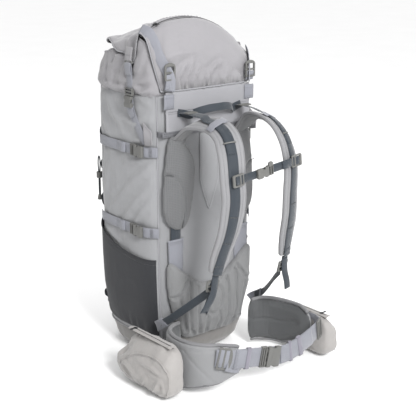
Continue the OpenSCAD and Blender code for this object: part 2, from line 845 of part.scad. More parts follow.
// Point of the lid at share s of the way from crown to rim, moved in by d
function lid_point(s, a, d) =
    let (base = bag_point(700, a, LID_OUT - d))
    let (x = base[0] * s, y = base[1] * s, low = lid_rim(a))
    let (high = lid_top - lookup(y, LID_DROP) - lookup(x, LID_FALL) * lookup(y, FALL_SHARE) - d)
        [x, y, low + max(LID_LEAST, high - low) * pow(1 - pow(s, LID_POWER), 1 / LID_POWER)];

function lid_rows(d) = [
    for (k = [0 : LID_STEPS])
        [for (a = ROUND) lid_point(sin(90 * (1 - k / (LID_STEPS + 1))), a, d)]
];

module lid_shell() {
    crown = lid_point(0, 0, 0);
    color(LIGHT) cup(lid_rows(0), crown, lid_rows(lid_wall), crown - [0, 0, lid_wall], 1);
}

// The zip runs over the back of the crown on an arc in a plane across the pack
ZIP_Y = -100;
ZIP_R = 238;
ZIP_CENTRE = [-43, 634];
ZIP_FROM = -20;
ZIP_TO = 38;

module zip_arc(r0, r1, angle0, angle1) {
    arc = [for (k = [0 : 12]) lerp(angle0, angle1, k / 12)];
    back = [for (k = [12 : -1 : 0]) arc[k]];
    polygon(concat([for (a = arc) r1 * [sin(a), cos(a)]], [for (a = back) r0 * [sin(a), cos(a)]]));
}

module lid_zip() {
    color(BLACK)
        translate([ZIP_CENTRE[0], ZIP_Y + 4, ZIP_CENTRE[1]])
            rotate([90, 0, 0])
                linear_extrude(8) zip_arc(ZIP_R, ZIP_R + ZIP_T, ZIP_FROM - 3, ZIP_TO + 3);
}

module lid_zip_slider() {
    color(BLACK)
        translate([ZIP_CENTRE[0], ZIP_Y, ZIP_CENTRE[1]])
            rotate([0, ZIP_FROM, 0])
                translate([0, 0, ZIP_R + ZIP_T + 0.1]) rotate([0, 0, -90]) zip_slider(1);
}

// Places of the lid's straps: in front along each side, and behind on the yoke
LID_FRONT_Y = -56;
LID_MOUTH_Z = 690;
LID_REAR_X = 126;
LID_REAR_Y = -bag_back - LID_OUT - 2.4;
LID_HINGE_Z = LID_MOUTH_Z - arm_l / 2;

// Frame of a front lid buckle: X runs down, Z away from the cloth
module on_lid_front(side) {
    multmatrix([[0, 0, side, side * (bag_half_w + LID_OUT)], [0, side, 0, LID_FRONT_Y],
        [-1, 0, 0, LID_MOUTH_Z], [0, 0, 0, 1]])
        children();
}

module lid_straps() {
    color(LILAC)
        for (side = [-1, 1]) {
            on_lid_front(side) buckle_web(-96, -4, web_w);
            translate([side * LID_REAR_X - web_w / 2, LID_REAR_Y - web_t, lid_rear_edge + 2])
                cube([web_w, web_t, side > 0 ? 72 : 96]);
        }
}

module lid_buckles() {
    color(HARD)
        for (side = [-1, 1]) {
            on_lid_front(side) plug(web_w, arm_l);
            translate([side * LID_REAR_X, LID_REAR_Y - web_t - 3, 748])
                rotate([90, 0, 0]) slotted_link(34, 30, 5, 4.5);
        }
}

module lid_sockets() {
    color(HARD) for (side = [-1, 1]) on_lid_front(side) socket(web_w, 28, arm_l);
}

// Webbing sewn to the bag that the lid hangs on: a slanted strap on each side and two tabs on the yoke
module lid_anchors() {
    x = bag_half_w + LID_OUT + WEB_Z;
    color(LILAC)
        for (side = [-1, 1]) {
            run = [[side * x, LID_FRONT_Y, 684], [side * x, LID_FRONT_Y, 662],
                [side * (x - 1), LID_FRONT_Y - 12, 640], [side * (x - 6), LID_FRONT_Y - 48, 590]];
            band(run, [0, 1, 0.35], even(run, web_w, web_t), WEB_CUT);
            translate([side * LID_REAR_X - 15, BACK_Y - 5 - 3.3, 664]) cube([30, 3, 36]);
        }
}

// ---------------------------------------------------------------- placing

back_panel();
front_panel();
side_panel(1);  // side_panel_left
side_panel(-1);  // side_panel_right
bottom_panel();
extension_collar();
collar_cord();
framesheet();
frame_stays();
bottle_pocket(1);  // bottle_pocket_left
bottle_pocket(-1);  // bottle_pocket_right
front_pocket();
daisy_chains();
tool_cords();
cord_lock(1);  // cord_lock_left
cord_lock(-1);  // cord_lock_right
bottom_straps();
yoke_panel();
torso_pad(1);  // torso_pad_left
torso_pad(-1);  // torso_pad_right
centre_flap();
torso_webbing();
torso_sleeves();
lumbar_pad();
haul_loop();
shoulder_strap(1);  // shoulder_strap_left
shoulder_strap(-1);  // shoulder_strap_right
strap_webbing();
load_lifters();
harness_adjusters();
lower_webbing();
sternum_sliders();
sternum_webbing();
sternum_socket();
sternum_plug();
hip_wing(WING_LEFT);  // hip_wing_left
hip_wing(WING_RIGHT);  // hip_wing_right
hip_pocket(POCKET_LEFT);  // hip_pocket_left
hip_pocket(POCKET_RIGHT);  // hip_pocket_right
hip_zips();
hip_zip_slider(1, POCKET_LEFT, -336);  // hip_zip_slider_left
hip_zip_slider(-1, POCKET_RIGHT, -155);  // hip_zip_slider_right
hip_webbing_left();
hip_webbing_right();
hip_ladder_locks();
hip_socket();
hip_plug();
lid_shell();
lid_zip();
lid_zip_slider();
lid_straps();
lid_buckles();
lid_anchors();
lid_sockets();
compression_webbing();
compression_sockets();
compression_plug(1, SIDE_ROWS[0]);  // plug_upper_left
compression_plug(-1, SIDE_ROWS[0]);  // plug_upper_right
compression_plug(1, SIDE_ROWS[1]);  // plug_lower_left
compression_plug(-1, SIDE_ROWS[1]);  // plug_lower_right
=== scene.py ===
"""Large internal-frame hiking backpack, standing on its base: the visual model.

Everything is in the frame of the CAD model: +Z up, the harness faces -Y, the wearer's left is +X.
Shapes are written in millimetres, like the CAD source, and mm() turns them into metres.
"""
import math

import bmesh
import bpy
import numpy as np
from mathutils import Matrix, Vector
from mathutils.bvhtree import BVHTree


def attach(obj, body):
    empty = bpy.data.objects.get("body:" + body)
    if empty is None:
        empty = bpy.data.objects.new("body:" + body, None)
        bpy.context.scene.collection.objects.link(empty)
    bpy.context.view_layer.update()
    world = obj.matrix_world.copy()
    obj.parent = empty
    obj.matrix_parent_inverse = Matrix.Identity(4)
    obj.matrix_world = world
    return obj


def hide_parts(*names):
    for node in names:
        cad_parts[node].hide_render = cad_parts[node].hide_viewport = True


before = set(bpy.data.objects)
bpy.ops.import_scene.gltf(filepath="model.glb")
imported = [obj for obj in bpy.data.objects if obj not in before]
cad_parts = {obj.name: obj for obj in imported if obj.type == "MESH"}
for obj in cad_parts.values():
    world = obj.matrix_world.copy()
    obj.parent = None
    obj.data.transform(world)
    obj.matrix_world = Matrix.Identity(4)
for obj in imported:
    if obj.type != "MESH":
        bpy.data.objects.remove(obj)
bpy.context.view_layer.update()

SIDES = (("right", -1), ("left", 1))


def mm(values):
    """Millimetres as an array in metres."""
    return np.array(values, float) / 1000


# ---------------------------------------------------------------- camera, light and floor

CAMERA_PLACE = (-1.546, -2.009, 1.093)
CAMERA_AIM = (0.050, -0.084, 0.375)
SENSOR = 36.0
LENS = 86.5
LIGHT_AIM = (0, 0, 0.4)
SKY_BRIGHT_SIDE = (0.0, -0.25, 0.97)
SKY_LOW = 0.02
SKY_HIGH = 1.32


def aimed(name, data, place, aim):
    """Camera or light at a place in metres, pointed at its aim."""
    obj = bpy.data.objects.new(name, data)
    bpy.context.scene.collection.objects.link(obj)
    obj.location = place
    obj.rotation_mode = "QUATERNION"
    obj.rotation_quaternion = (Vector(aim) - Vector(place)).to_track_quat("-Z", "Y")
    return obj


def add_camera():
    data = bpy.data.cameras.new("camera")
    data.sensor_width = SENSOR
    data.lens = LENS
    bpy.context.scene.camera = aimed("camera", data, CAMERA_PLACE, CAMERA_AIM)


def add_light(name, place, size, power):
    data = bpy.data.lights.new(name, "AREA")
    data.shape = "DISK"
    data.size = size
    data.energy = power
    aimed(name, data, place, LIGHT_AIM)


def add_studio():
    add_light("key", (-0.9, -3.3, 2.3), size=1.1, power=178)
    add_light("rim", (1.6, 1.2, 2.6), size=1.4, power=18)
    world = bpy.data.worlds.new("studio")
    bpy.context.scene.world = world
    world.use_nodes = True
    nodes, links = world.node_tree.nodes, world.node_tree.links
    coords = nodes.new("ShaderNodeTexCoord")
    slope = nodes.new("ShaderNodeVectorMath")
    slope.operation = "DOT_PRODUCT"
    slope.inputs[1].default_value = SKY_BRIGHT_SIDE
    level = nodes.new("ShaderNodeMapRange")
    level.inputs["From Min"].default_value = -1
    level.inputs["To Min"].default_value = SKY_LOW
    level.inputs["To Max"].default_value = SKY_HIGH
    links.new(coords.outputs["Generated"], slope.inputs[0])
    links.new(slope.outputs["Value"], level.inputs["Value"])
    links.new(level.outputs["Result"], nodes["Background"].inputs["Strength"])
    nodes["Background"].inputs["Color"].default_value = (1, 1, 1, 1)
    bpy.context.scene.view_settings.view_transform = "Standard"


# ---------------------------------------------------------------- curves and numbers


def span(a, b, c, d, steps):
    """Points from b towards c, on the smooth curve through a, b, c and d."""
    t = (np.arange(steps) / steps)[:, None]
    bend = 2 * a - 5 * b + 4 * c - d
    twist = 3 * b - a - 3 * c + d
    return 0.5 * (2 * b + (c - a) * t + bend * t**2 + twist * t**3)


def smooth(points, steps):
    """Smooth curve through the points, with steps between neighbours."""
    p = np.array(points, float)
    ends = np.vstack([p[:1], p, p[-1:]])
    rows = [span(*four, steps) for four in zip(ends[:-3], ends[1:-2], ends[2:-1], ends[3:])]
    return np.vstack(rows + [p[-1:]])


def closed_smooth(points, steps):
    """Smooth closed curve through the points."""
    p = np.array(points, float)
    n = len(p)
    return np.vstack([span(p[i - 1], p[i], p[(i + 1) % n], p[(i + 2) % n], steps) for i in range(n)])


def lookup(value, table):
    """Value from a table of (place, value) rows, joined by straight lines."""
    table = np.array(table, float)
    return np.interp(value, table[:, 0], table[:, 1])


def soft_lookup(value, table):
    """Value from a table of (place, value) rows, joined by a smooth curve."""
    return lookup(value, smooth(table, 6))


def ease(value, low, high):
    """0 below low, 1 above high, and smooth between them."""
    t = np.clip((np.asarray(value, float) - low) / (high - low), 0, 1)
    return t * t * (3 - 2 * t)


def unit(v):
    v = np.asarray(v, float)
    return v / np.maximum(np.linalg.norm(v, axis=-1, keepdims=True), 1e-12)


def lengths(path):
    """Distance along a path at each of its points."""
    steps = np.linalg.norm(np.diff(path, axis=0), axis=1)
    return np.concatenate([[0], np.cumsum(steps)])


def evenly(path, spacing):
    """The same path, with its points the given distance apart."""
    s = lengths(path)
    count = max(2, int(round(s[-1] / spacing)) + 1)
    at = np.linspace(0, s[-1], count)
    return np.stack([np.interp(at, s, path[:, k]) for k in range(3)], axis=1)


def headings(path):
    """Direction of travel at each point of a path."""
    padded = np.vstack([path[:1], path, path[-1:]])
    return unit(padded[2:] - padded[:-2])


def mirrored(points, side):
    return np.array(points, float) * [side, 1, 1]


def value_noise(points, size, seed):
    """Smooth noise from -1 to 1, the same on each run, with bumps of the given size."""
    q = np.asarray(points, float) / size
    cell = np.floor(q).astype(np.int64)
    t = q - cell
    t = t * t * (3 - 2 * t)
    total = np.zeros(q.shape[:-1])
    for corner in np.ndindex(2, 2, 2):
        c = cell + np.array(corner)
        h = (c[..., 0] * 73856093) ^ (c[..., 1] * 19349663) ^ (c[..., 2] * 83492791) ^ (seed * 2654435761)
        h = (h ^ (h >> 13)) * 1274126177
        h = (h ^ (h >> 16)) & 0xFFFF
        weight = np.prod(np.where(np.array(corner) == 1, t, 1 - t), axis=-1)
        total += (h / 32767.5 - 1) * weight
    return total


def crumple(points, size, seed):
    """Noise with creases: two layers of noise folded at zero."""
    first = np.abs(value_noise(points, size=size, seed=seed))
    second = np.abs(value_noise(points, size=size * 0.47, seed=seed + 1))
    return 0.62 - first - 0.45 * second


def line_gap(points, line):
    """Distance from each point to a polyline, and the share of the line's length at the nearest point."""
    line = np.array(line, float)
    s = lengths(line)
    best = np.full(len(points), 1e9)
    share = np.zeros(len(points))
    for k in range(len(line) - 1):
        a, way = line[k], line[k + 1] - line[k]
        t = np.clip((points - a) @ way / max(way @ way, 1e-12), 0, 1)
        gap = np.linalg.norm(points - (a + t[:, None] * way), axis=1)
        nearer = gap < best
        best = np.where(nearer, gap, best)
        share = np.where(nearer, (s[k] + t * (s[k + 1] - s[k])) / s[-1], share)
    return best, share


def fold_height(points, folds):
    """Height of soft ridges over points: a fold is (line in mm, half width in mm, height in mm)."""
    flat = points.reshape(-1, 3)
    total = np.zeros(len(flat))
    for line, width, height in folds:
        gap, share = line_gap(flat, mm(line))
        w = width / 1000
        ridge = np.exp(-((gap / w) ** 1.5)) - 0.45 * np.exp(-(((gap - 1.9 * w) / w) ** 2))
        taper = 0.25 + 0.75 * np.sin(np.pi * np.clip(share, 0.02, 0.98)) ** 0.7
        total += height / 1000 * ridge * taper
    return total.reshape(points.shape[:-1])


# ---------------------------------------------------------------- meshes
# A shape is (points, faces, uv): uv has one row per point, in metres along and across the piece.


def shape(points, faces, uv=None):
    points = np.asarray(points, float).reshape(-1, 3)
    if uv is None:
        uv = points[:, :2]
    return points, faces, np.asarray(uv, float).reshape(-1, 2)


def merged(shapes):
    """Several shapes as one."""
    points, faces, uv, base = [], [], [], 0
    for p, f, t in shapes:
        points.append(p)
        uv.append(t)
        faces += [[i + base for i in face] for face in f]
        base += len(p)
    return np.vstack(points), faces, np.vstack(uv)


def moved(made, matrix):
    """A shape carried by a 4x4 matrix."""
    m = np.array(matrix, float)
    p, f, t = made
    out = p @ m[:3, :3].T + m[:3, 3]
    if np.linalg.det(m[:3, :3]) < 0:
        f = [face[::-1] for face in f]
    return out, f, t


def place_matrix(x, y, z, rx=0, ry=0, rz=0):
    """Matrix that turns about X, then Y, then Z, in degrees, and then moves to x, y, z in mm."""
    turn = Matrix.Rotation(math.radians(rz), 4, "Z")
    turn = turn @ Matrix.Rotation(math.radians(ry), 4, "Y")
    turn = turn @ Matrix.Rotation(math.radians(rx), 4, "X")
    return Matrix.Translation(Vector((x, y, z)) / 1000) @ turn


def axes_matrix(origin, x_axis, y_axis, z_axis):
    """Matrix with these axes, and its origin in mm."""
    m = np.eye(4)
    m[:3, 0], m[:3, 1], m[:3, 2] = x_axis, y_axis, z_axis
    m[:3, 3] = mm(origin)
    return m


def grid_faces(rows, cols, wrap=False):
    """Quads over a grid whose columns run to the left of its rows, seen from outside."""
    last = cols if wrap else cols - 1
    faces = []
    for i in range(rows - 1):
        for j in range(last):
            k = (j + 1) % cols
            faces.append([i * cols + j, i * cols + k, (i + 1) * cols + k, (i + 1) * cols + j])
    return faces


def grid_uv(points):
    """Lengths across and up a grid, in metres."""
    across = np.linalg.norm(np.diff(points, axis=1), axis=-1)
    up = np.linalg.norm(np.diff(points, axis=0), axis=-1)
    u = np.concatenate([np.zeros((len(points), 1)), np.cumsum(across, axis=1)], axis=1)
    v = np.concatenate([np.zeros((1, points.shape[1])), np.cumsum(up, axis=0)], axis=0)
    return np.stack([u, v], axis=-1)


def grid(points, wrap=False):
    """Open sheet over a grid of points."""
    rows, cols = points.shape[:2]
    return shape(points, grid_faces(rows, cols, wrap), grid_uv(points))


def grid_normals(points, wrap=False):
    """Outward normals of a grid whose columns run counterclockwise and rows go up."""
    if wrap:
        around = np.roll(points, -1, axis=1) - np.roll(points, 1, axis=1)
    else:
        around = np.gradient(points, axis=1)
    return unit(np.cross(around, np.gradient(points, axis=0)))


def pillow(front, back):
    """Closed shape between two grids of the same size that face away from each other."""
    rows, cols = front.shape[:2]
    n = rows * cols
    faces = grid_faces(rows, cols)
    faces += [[i + n for i in face[::-1]] for face in grid_faces(rows, cols)]
    edge = list(range(cols))
    edge += [i * cols + cols - 1 for i in range(1, rows)]
    edge += [(rows - 1) * cols + j for j in range(cols - 2, -1, -1)]
    edge += [i * cols for i in range(rows - 2, 0, -1)]
    for a, b in zip(edge, edge[1:] + edge[:1]):
        faces.append([b, a, a + n, b + n])
    points = np.concatenate([front.reshape(-1, 3), back.reshape(-1, 3)])
    uv = np.concatenate([grid_uv(front).reshape(-1, 2)] * 2)
    return shape(points, faces, uv)


def sweep(path, across, profile):
    """Closed section carried along a path. profile is one section or one for each point of the path:
    rows of (across, out). across is the direction of the section's width."""
    path = np.asarray(path, float)
    along = headings(path)
    across = np.broadcast_to(np.asarray(across, float), path.shape)
    wide = unit(across - along * (across * along).sum(1, keepdims=True))
    out = np.cross(along, wide)
    profile = np.broadcast_to(profile, (len(path),) + np.shape(profile)[-2:])
    points = path[:, None] + wide[:, None] * profile[..., :1] + out[:, None] * profile[..., 1:]
    n, m = points.shape[:2]
    faces = [
        [i * m + j, i * m + (j + 1) % m, (i + 1) * m + (j + 1) % m, (i + 1) * m + j]
        for i in range(n - 1)
        for j in range(m)
    ]
    faces.append(list(range(m))[::-1])
    faces.append([(n - 1) * m + j for j in range(m)])
    uv = np.stack([profile[..., 0], np.broadcast_to(lengths(path)[:, None], (n, m))], axis=-1)
    return shape(points, faces, uv)


def plate_profile(width, thickness, bulge=0.0):
    """Section of webbing, counterclockwise: flat faces and rounded edges."""
    w, t = width / 2, thickness / 2
    half = [[w - t * 0.7, -t], [w, -t * 0.4], [w, t * 0.4], [w - t * 0.7, t]]
    middle = [[w * 0.33, t + bulge], [-w * 0.33, t + bulge]]
    low = [[-w * 0.33, -t - bulge], [w * 0.33, -t - bulge]]
    other = [[-a, -b] for a, b in half]
    return np.array(half + middle + other + low)


def arched(width, flat, rise, thickness):
    """Section of a strip that lies over something flat wide and rise high, in metres."""
    top = [[-width / 2, 0], [-flat / 2 - rise, 0], [-flat / 2, rise], [flat / 2, rise], [flat / 2 + rise, 0],
           [width / 2, 0]]
    low = [[x, y - thickness] for x, y in top]
    return np.array(low + top[::-1])


def ribbon(path, across, width, thickness=0.0016, spacing=0.004):
    """Webbing along a path in metres; across is its width direction."""
    path = np.asarray(path, float)
    s = lengths(path)
    fine = evenly(path, spacing)
    if np.ndim(across) == 2:
        at = lengths(fine)
        across = np.stack([np.interp(at, s, np.asarray(across)[:, k]) for k in range(3)], axis=1)
    return sweep(fine, across, plate_profile(width, thickness, thickness * 0.12))


def circle(radius, count=10):
    a = np.arange(count) * 2 * np.pi / count
    return np.stack([np.cos(a), np.sin(a)], axis=1) * radius


def tube(path, radius, count=10):
    """Round cord along a path."""
    path = np.asarray(path, float)
    along = headings(path)
    side = np.cross(along[0], [0.31, 0.42, 0.86])
    turns = []
    for way in along:
        side = unit(side - way * (side @ way))
        turns.append(side)
    return sweep(path, np.array(turns), circle(radius, count))


def ring(path, radius):
    """Cord along a path that closes on itself."""
    path = np.asarray(path, float)
    count = 8
    around = unit(np.roll(path, -1, axis=0) - np.roll(path, 1, axis=0))
    axis = unit(np.cross(path[0] - path.mean(0), path[len(path) // 4] - path.mean(0)))
    wide = np.broadcast_to(axis, path.shape)
    out = np.cross(around, wide)
    c = circle(radius, count)
    points = path[:, None] + wide[:, None] * c[None, :, :1] + out[:, None] * c[None, :, 1:]
    n = len(path)
    faces = [
        [i * count + j, i * count + (j + 1) % count, k * count + (j + 1) % count, k * count + j]
        for i in range(n)
        for k in [(i + 1) % n]
        for j in range(count)
    ]
    return shape(points, faces)


def dashes(line, out, length=0.0028, gap=0.0014, size=0.0006):
    """A row of stitches along a line; out is the direction away from the cloth."""
    line = np.asarray(line, float)
    s = lengths(line)
    count = max(1, int(s[-1] / (length + gap)))
    starts = np.linspace(0, s[-1] - length, count)

    def at(d):
        return np.stack([np.interp(d, s, line[:, k]) for k in range(3)], axis=1)

    a, b = at(starts), at(starts + length)
    out = np.asarray(out, float)
    if out.ndim == 2:
        mid = starts + length / 2
        out = unit(np.stack([np.interp(mid, s, out[:, k]) for k in range(3)], axis=1))
    up = np.broadcast_to(unit(out), a.shape)
    wide = unit(np.cross(b - a, up)) * size / 2
    lift = up * size * 0.6
    corners = [a - wide, a + wide, (a + b) / 2 + wide + lift, (a + b) / 2 - wide + lift, b - wide, b + wide]
    points = np.stack(corners, axis=1)
    faces = []
    for k in range(count):
        i = 6 * k
        faces += [[i, i + 1, i + 2, i + 3], [i + 3, i + 2, i + 5, i + 4]]
        faces += [[i, i + 3, i + 4], [i + 1, i + 5, i + 2], [i, i + 4, i + 5, i + 1]]
    return shape(points, faces)


def rounded(cx, cy, w, h, r, steps=4):
    """Outline of a rectangle with round corners, in mm."""
    r = min(r, w / 2 - 0.01, h / 2 - 0.01)
    corners = ((1, 1, 0), (-1, 1, 90), (-1, -1, 180), (1, -1, 270))
    points = []
    for sx, sy, start in corners:
        for k in range(steps + 1):
            a = math.radians(start + 90 * k / steps)
            x = cx + sx * (w / 2 - r) + r * math.cos(a)
            y = cy + sy * (h / 2 - r) + r * math.sin(a)
            points.append((x, y))
    return points


def moulding(outlines, low, high, bevel=0.8):
    """Plate with rounded edges over outlines in mm, from height low to high; an inner outline is a hole."""
    bevel = min(bevel, (high - low) / 2 - 0.02)
    curve = bpy.data.curves.new("outline", "CURVE")
    curve.dimensions = "2D"
    curve.fill_mode = "BOTH"
    curve.extrude = ((high - low) / 2 - bevel) / 1000
    curve.bevel_depth = bevel / 1000
    curve.bevel_resolution = 1
    curve.offset = -bevel / 1000
    for outline in outlines:
        spline = curve.splines.new("POLY")
        spline.points.add(len(outline) - 1)
        spline.use_cyclic_u = True
        for point, (x, y) in zip(spline.points, outline):
            point.co = (x / 1000, y / 1000, (low + high) / 2000, 1)
    obj = bpy.data.objects.new("outline", curve)
    bpy.context.scene.collection.objects.link(obj)
    bpy.context.view_layer.update()
    mesh = bpy.data.meshes.new_from_object(obj.evaluated_get(bpy.context.evaluated_depsgraph_get()))
    work = bmesh.new()
    work.from_mesh(mesh)
    bmesh.ops.remove_doubles(work, verts=work.verts, dist=1e-6)
    bmesh.ops.recalc_face_normals(work, faces=work.faces)
    points = np.array([v.co[:] for v in work.verts])
    faces = [[v.index for v in f.verts] for f in work.faces]
    work.free()
    bpy.data.objects.remove(obj)
    bpy.data.curves.remove(curve)
    bpy.data.meshes.remove(mesh)
    return shape(points, faces)


def new_object(name, made):
    """Mesh object from a shape, not yet on a body."""
    points, faces, uv = made
    mesh = bpy.data.meshes.new(name)
    mesh.from_pydata(points.tolist(), [], faces)
    index = np.empty(len(mesh.loops), np.int32)
    mesh.loops.foreach_get("vertex_index", index)
    layer = mesh.uv_layers.new(name="UVMap")
    layer.data.foreach_set("uv", uv[index].astype(np.float32).ravel())
    mesh.polygons.foreach_set("use_smooth", np.full(len(faces), True))
    mesh.update()
    obj = bpy.data.objects.new(name, mesh)
    bpy.context.scene.collection.objects.link(obj)
    return obj


def finish_piece(obj, materials, body, nodes):
    for material in materials if isinstance(materials, (list, tuple)) else [materials]:
        obj.data.materials.append(material)
    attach(obj, body)
    if nodes:
        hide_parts(*nodes)
    return obj


def piece(name, made, look, body="pack", nodes=(), thick=0.0):
    """Finished piece: look is (material, slot), and the slot is not used; nodes are the CAD nodes it stands
    for.
    """
    obj = new_object(name, made)
    if thick:
        modifier = obj.modifiers.new("thickness", "SOLIDIFY")
        modifier.thickness = thick
        modifier.offset = -1
    if name.endswith("_hardware"):
        harden(obj)
    return finish_piece(obj, look[0], body, nodes)


CREASE = math.radians(38)


def harden(obj):
    """Smooth shading with creases at sharp edges, for mouldings."""
    mesh = obj.data
    mesh.polygons.foreach_set("use_smooth", np.full(len(mesh.polygons), True))
    work = bmesh.new()
    work.from_mesh(mesh)
    for edge in work.edges:
        if len(edge.link_faces) == 2 and edge.calc_face_angle(0) > CREASE:
            edge.smooth = False
    work.to_mesh(mesh)
    work.free()


def coordinates(mesh):
    co = np.empty(len(mesh.vertices) * 3, np.float64)
    mesh.vertices.foreach_get("co", co)
    return co.reshape(-1, 3)


def set_coordinates(mesh, co):
    mesh.vertices.foreach_set("co", np.asarray(co, np.float32).ravel())
    mesh.update()


def vertex_normals(mesh):
    normal = np.empty(len(mesh.vertices) * 3, np.float32)
    mesh.vertices.foreach_get("normal", normal)
    return normal.reshape(-1, 3).astype(float)


def applied(obj):
    """Replaces the object's mesh by the result of its modifiers."""
    bpy.context.view_layer.update()
    evaluated = obj.evaluated_get(bpy.context.evaluated_depsgraph_get())
    mesh = bpy.data.meshes.new_from_object(evaluated)
    old = obj.data
    obj.modifiers.clear()
    obj.data = mesh
    bpy.data.meshes.remove(old)
    mesh.polygons.foreach_set("use_smooth", np.full(len(mesh.polygons), True))


CLOTH_FRAMES = 20


def inflate(obj, voxel, pressure, cap, hold=None, bending=0.6):
    """Swells a closed mesh as stuffed cloth swells: voxel remesh, then a pressed cloth simulation.
    cap is how far a point may move, in metres. hold(points) gives 1 where the cloth is sewn down."""
    remesh = obj.modifiers.new("remesh", "REMESH")
    remesh.mode = "VOXEL"
    remesh.voxel_size = voxel
    applied(obj)
    rest = coordinates(obj.data)
    held = np.zeros(len(rest)) if hold is None else np.clip(hold(rest), 0, 1)
    cloth = obj.modifiers.new("cloth", "CLOTH")
    cloth.settings.quality = 5
    cloth.settings.use_pressure = True
    cloth.settings.uniform_pressure_force = pressure
    cloth.settings.effector_weights.gravity = 0
    cloth.settings.bending_stiffness = bending
    cloth.point_cache.frame_start = 1
    cloth.point_cache.frame_end = CLOTH_FRAMES
    if held.any():
        group = obj.vertex_groups.new(name="held")
        for index in np.nonzero(held > 0.02)[0]:
            group.add([int(index)], float(held[index]), "REPLACE")
        cloth.settings.vertex_group_mass = "held"
    for number in range(1, CLOTH_FRAMES + 1):
        bpy.context.scene.frame_set(number)
    evaluated = obj.evaluated_get(bpy.context.evaluated_depsgraph_get())
    now = coordinates(evaluated.data)
    obj.modifiers.clear()
    bpy.context.scene.frame_set(1)
    move = now - rest
    size = np.linalg.norm(move, axis=1, keepdims=True)
    move *= np.minimum(1, cap / np.maximum(size, 1e-9))
    set_coordinates(obj.data, rest + move * (1 - held)[:, None])
    return obj


def refine(obj):
    """One subdivision of a finished pad."""
    modifier = obj.modifiers.new("subdivision", "SUBSURF")
    modifier.levels = modifier.render_levels = 1


def on_surface(obj, points, lift=0.0):
    """Nearest points of a mesh to the given ones, lifted off it, and the directions away from it."""
    mesh = obj.data
    tree = BVHTree.FromPolygons([v.co[:] for v in mesh.vertices], [p.vertices[:] for p in mesh.polygons])
    found, ways = [], []
    for point in np.asarray(points, float):
        place, normal, _, _ = tree.find_nearest(Vector(point))
        found.append(np.array(place) + np.array(normal) * lift)
        ways.append(np.array(normal))
    return np.array(found), np.array(ways)


THREAD_STEP = 0.004


def sewn_line(obj, line, lift=0.0002):
    """Row of stitches that follows a mesh along a line in metres."""
    found, ways = on_surface(obj, evenly(np.asarray(line, float), THREAD_STEP), lift)
    return dashes(found, ways)


def cord_on(obj, line, radius, lift=0.0):
    """Piping that follows a mesh along a line in metres."""
    found, _ = on_surface(obj, evenly(np.asarray(line, float), THREAD_STEP), lift)
    return tube(found, radius, count=8)


def press_line(obj, line, depth, width, raised=0.0):
    """Presses a sewn channel into a mesh along a line in metres, with a raised lip on each side."""
    co = coordinates(obj.data)
    normal = vertex_normals(obj.data)
    gap, _ = line_gap(co, on_surface(obj, line)[0])
    move = -depth * np.exp(-((gap / width) ** 2))
    move += raised * np.exp(-(((gap - 2.4 * width) / (1.3 * width)) ** 2))
    set_coordinates(obj.data, co + normal * move[:, None])


def superellipse(count, wide_power, out_power):
    """Across and out at each point of a padded section: a circle's, each raised to a power."""
    a = np.arange(count) * 2 * np.pi / count
    c, s = np.cos(a), np.sin(a)
    return np.sign(c) * np.abs(c) ** wide_power, np.sign(s) * np.abs(s) ** out_power


# ---------------------------------------------------------------- materials


ALBEDO = 0.43


def rgb(code):
    """Linear surface colour for a part that looks like a display colour such as "B0B0AE" in the studio."""
    out = []
    for k in (0, 2, 4):
        c = int(code[k:k + 2], 16) / 255
        out.append(ALBEDO * (c / 12.92 if c <= 0.04045 else ((c + 0.055) / 1.055) ** 2.4))
    return tuple(out) + (1.0,)


def shaded(colour, share):
    return tuple(min(1.0, c * share) for c in colour[:3]) + (1.0,)


